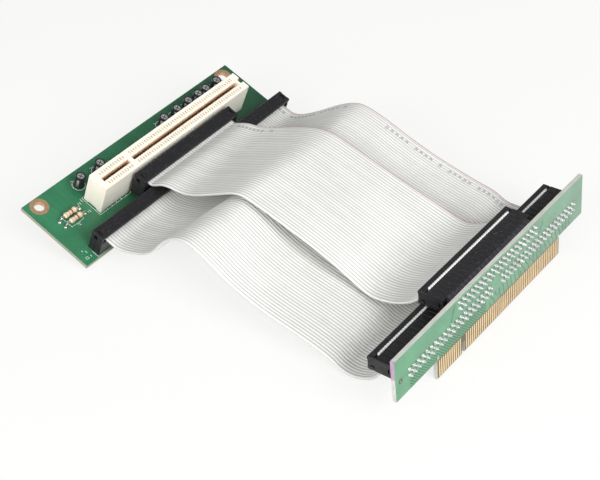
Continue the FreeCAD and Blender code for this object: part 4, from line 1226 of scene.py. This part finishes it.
def end_plate(shape, low, high, hole):
    """Adds a flat plate across a socket's end, with a square hole through it."""
    (across_low, along_low, out_low), (across_high, along_high, out_high) = low, high
    rings = []
    for along in (along_low, along_high):
        for left, bottom, right, top in ((across_low, out_low, across_high, out_high), hole):
            rings.append([shape.verts.new((across, along, out)) for across, out in (
                (left, bottom), (right, bottom), (right, top), (left, top))])
    near_outer, near_hole, far_outer, far_hole = rings
    for side in range(4):
        after = (side + 1) % 4
        for first, second in ((near_outer, near_hole), (far_hole, far_outer),
                              (far_outer, near_outer), (near_hole, far_hole)):
            shape.faces.new((first[side], first[after], second[after], second[side]))


PLATE_INSET = 0.12
PLATE_FROM_END = (0.03, 0.8)
BOARD_SIDE_PLATE = 2.2


class RISER_OT_end_plates(bpy.types.Operator):
    """Close the ends of the ribbon sockets with plates that carry keying holes"""

    bl_idname = "riser.end_plates"
    bl_label = "Socket end plates"

    def execute(self, context):
        finish = NODES["card_near_cap"].material_slots[0].material
        for place, board in (("slot", SLOT_BOARD), ("card", EDGE_CARD)):
            shape = bmesh.new()
            for row in ROWS:
                low, high = extent(board.corners(f"{place}_{row}_socket"))
                cap_low, cap_high = extent(board.corners(f"{place}_{row}_cap"))
                left, right = low[0] + PLATE_INSET, high[0] - PLATE_INSET
                if place == "slot":
                    bottom, top = low[2] + PLATE_INSET, cap_high[2] - PLATE_INSET
                    plates = [(bottom, top, (left + 0.7, top - 3.4, left + 2.9, top - 1.2))]
                else:
                    bottom, top = cap_low[2] + PLATE_INSET, high[2] - PLATE_INSET
                    seam = top - BOARD_SIDE_PLATE
                    plates = [
                        (bottom, seam, (right - 2.0, bottom + 0.9, right - 0.6, bottom + 2.7)),
                        (seam, top, (left + 1.9, seam + 0.5, right - 0.2, top - 0.15))]
                for end, inward in ((low[1], 1), (high[1], -1)):
                    near, far = sorted(end + inward * depth for depth in PLATE_FROM_END)
                    for under, over, hole in plates:
                        end_plate(shape, (left, near, under), (right, far, over), hole)
            bmesh.ops.recalc_face_normals(shape, faces=shape.faces)
            mesh = bpy.data.meshes.new(f"{place}_socket_end_plates")
            shape.to_mesh(mesh)
            shape.free()
            mesh.materials.append(finish)
            mesh.transform(board.matrix)
            keep_piece(f"{place}_socket_end_plates", mesh, "connector_black")
        return {"FINISHED"}


# The tooling hole's pad and two covered vias: across, along, radius and sides.
CARD_PADS = ((-16.0, 2.9, 0.78, 16), (-14.94, 56.46, 0.45, 12), (-15.69, 75.74, 0.45, 12))


class RISER_OT_pads(bpy.types.Operator):
    """Build the plated pad round the edge card's tooling hole and the covered vias near its pins"""

    bl_idname = "riser.pads"
    bl_label = "Pads"

    def execute(self, context):
        dark = metal_finish("Old plating", (0.24, 0.20, 0.15), (0.12, 0.11, 0.09), 0.45, 0.03 * MM)
        mesh = grow(strokes_mesh("pads", [ring_lines(*pad) for pad in CARD_PADS], 0.02),
                    line_tree(), {"Width": 0.5, "Height": 0.08, "Material": dark},
                    EDGE_CARD.matrix)
        keep_piece("edge_card_pads", mesh, "copper")
        return {"FINISHED"}


# ---- stage ---------------------------------------------------------------------------------------

CAMERA_PLACE = (0.192619, -0.306830, 0.345083)
CAMERA_TURN = (50.92644, 3.18334, 37.89826)
CAMERA_LENS = 86.519
FLOOR_REACH = 3.0
FLOOR_SHOWN = (0.985, 0.985, 0.972, 1.0)
SKY_SHOWN = (0.985, 0.985, 0.975, 1.0)
SKY_LIGHT = 0.41
# Each lamp: its direction from the object, its distance and side in metres, and its watts.
LAMPS = {
    "key_softbox": ((0.84, -0.14, 0.52), 0.9, 0.5, 6.8),
    "front_softbox": ((0.0, -1.0, 0.42), 0.9, 0.6, 4.8),
}


def floor_finish():
    """A pale floor, seen as near white by the camera, that keeps the soft shadow on it."""
    finish = Finish("Studio floor", 0.9, Specular_IOR_Level=0.0)
    tone = finish.noise(finish.here(), 1.5, 1.0)
    finish.link(finish.mix(tone, (0.93, 0.93, 0.92, 1.0), (0.95, 0.95, 0.94, 1.0)),
                finish.shader.inputs["Base Color"])
    white = finish.add("ShaderNodeEmission", {"Color": FLOOR_SHOWN, "Strength": 1.0})
    path = finish.add("ShaderNodeLightPath")
    seen = path["Is Camera Ray"].math(
        "ADD", path["Is Glossy Ray"] + path["Is Transmission Ray"], use_clamp=True)
    mixed = finish.add("ShaderNodeMixShader", {
        0: seen * 0.80, 1: Term(finish, finish.shader), 2: white})
    finish.link(mixed, finish.tree.nodes["Material Output"].inputs["Surface"])
    return finish.material


class RISER_OT_stage(bpy.types.Operator):
    """Set the camera, the floor and the soft studio light"""

    bl_idname = "riser.stage"
    bl_label = "Stage"

    def execute(self, context):
        scene = context.scene

        def place(name, data):
            holder = bpy.data.objects.new(name, data)
            scene.collection.objects.link(holder)
            return holder

        eye = bpy.data.cameras.new("camera")
        eye.lens = CAMERA_LENS
        eye.sensor_width = 36.0
        eye.clip_start, eye.clip_end = 0.01, 20.0
        camera = place("camera", eye)
        camera.location = CAMERA_PLACE
        camera.rotation_euler = Euler([math.radians(angle) for angle in CAMERA_TURN])
        scene.camera = camera

        plane = bpy.data.meshes.new("floor")
        plane.from_pydata([(x * FLOOR_REACH, y * FLOOR_REACH, CAD_BOX[0][2]) for x, y in (
            (-1, -1), (1, -1), (1, 1), (-1, 1))], [], [(0, 1, 2, 3)])
        plane.materials.append(floor_finish())
        floor = place("floor", plane)

        world = bpy.data.worlds.new("studio")
        world.use_nodes = True
        graph = Graph(world.node_tree)
        light = graph.tree.nodes["Background"]
        light.inputs["Color"].default_value = (1.0, 1.0, 1.0, 1.0)
        light.inputs["Strength"].default_value = SKY_LIGHT
        shown = graph.add("ShaderNodeBackground", {"Color": SKY_SHOWN, "Strength": 1.0})
        mixed = graph.add("ShaderNodeMixShader", {
            0: graph.add("ShaderNodeLightPath")["Is Camera Ray"], 1: Term(graph, light), 2: shown})
        graph.link(mixed, graph.tree.nodes["World Output"].inputs["Surface"])
        scene.world = world

        centre = Vector([(a + b) / 2 for a, b in zip(*CAD_BOX)])
        for name, (direction, span, size, power) in LAMPS.items():
            lamp = bpy.data.lights.new(name, "AREA")
            lamp.shape = "SQUARE"
            lamp.size = size
            lamp.energy = power
            holder = place(name, lamp)
            away = Vector(direction).normalized()
            holder.location = centre + away * span
            holder.rotation_euler = away.to_track_quat("Z", "Y").to_euler()

        scene.view_settings.view_transform = "Standard"
        return {"FINISHED"}


class RISER_PT_sidebar(bpy.types.Panel):
    """Lists what the looks are made of, with their sizes and colours"""

    bl_idname = "RISER_PT_sidebar"
    bl_label = "Riser card"
    bl_space_type = "VIEW_3D"
    bl_region_type = "UI"
    bl_category = "Riser card"

    def draw(self, context):
        column = self.layout.column(align=True)
        for step in STEPS:
            column.operator(step.bl_idname)
        for group in settings(context):
            box = self.layout.box()
            for name in group.__annotations__:
                box.prop(group, name)


STEPS = (
    RISER_OT_stage,
    RISER_OT_boards,
    RISER_OT_slot,
    RISER_OT_connectors,
    RISER_OT_small_parts,
    RISER_OT_ribbons,
    RISER_OT_solder,
    RISER_OT_mounds,
    RISER_OT_leaves,
    RISER_OT_ink,
    RISER_OT_capacitor_marks,
    RISER_OT_end_plates,
    RISER_OT_pads,
)
CLASSES = (RiserSizes, RiserColours, *STEPS, RISER_PT_sidebar)


def register():
    for cls in CLASSES:
        bpy.utils.register_class(cls)
    bpy.types.Scene.riser_sizes = bpy.props.PointerProperty(type=RiserSizes)
    bpy.types.Scene.riser_colours = bpy.props.PointerProperty(type=RiserColours)


def unregister():
    del bpy.types.Scene.riser_sizes
    del bpy.types.Scene.riser_colours
    for cls in reversed(CLASSES):
        bpy.utils.unregister_class(cls)


def main():
    register()
    for step in STEPS:
        group, name = step.bl_idname.split(".")
        getattr(getattr(bpy.ops, group), name)()


if __name__ == "__main__":
    main()
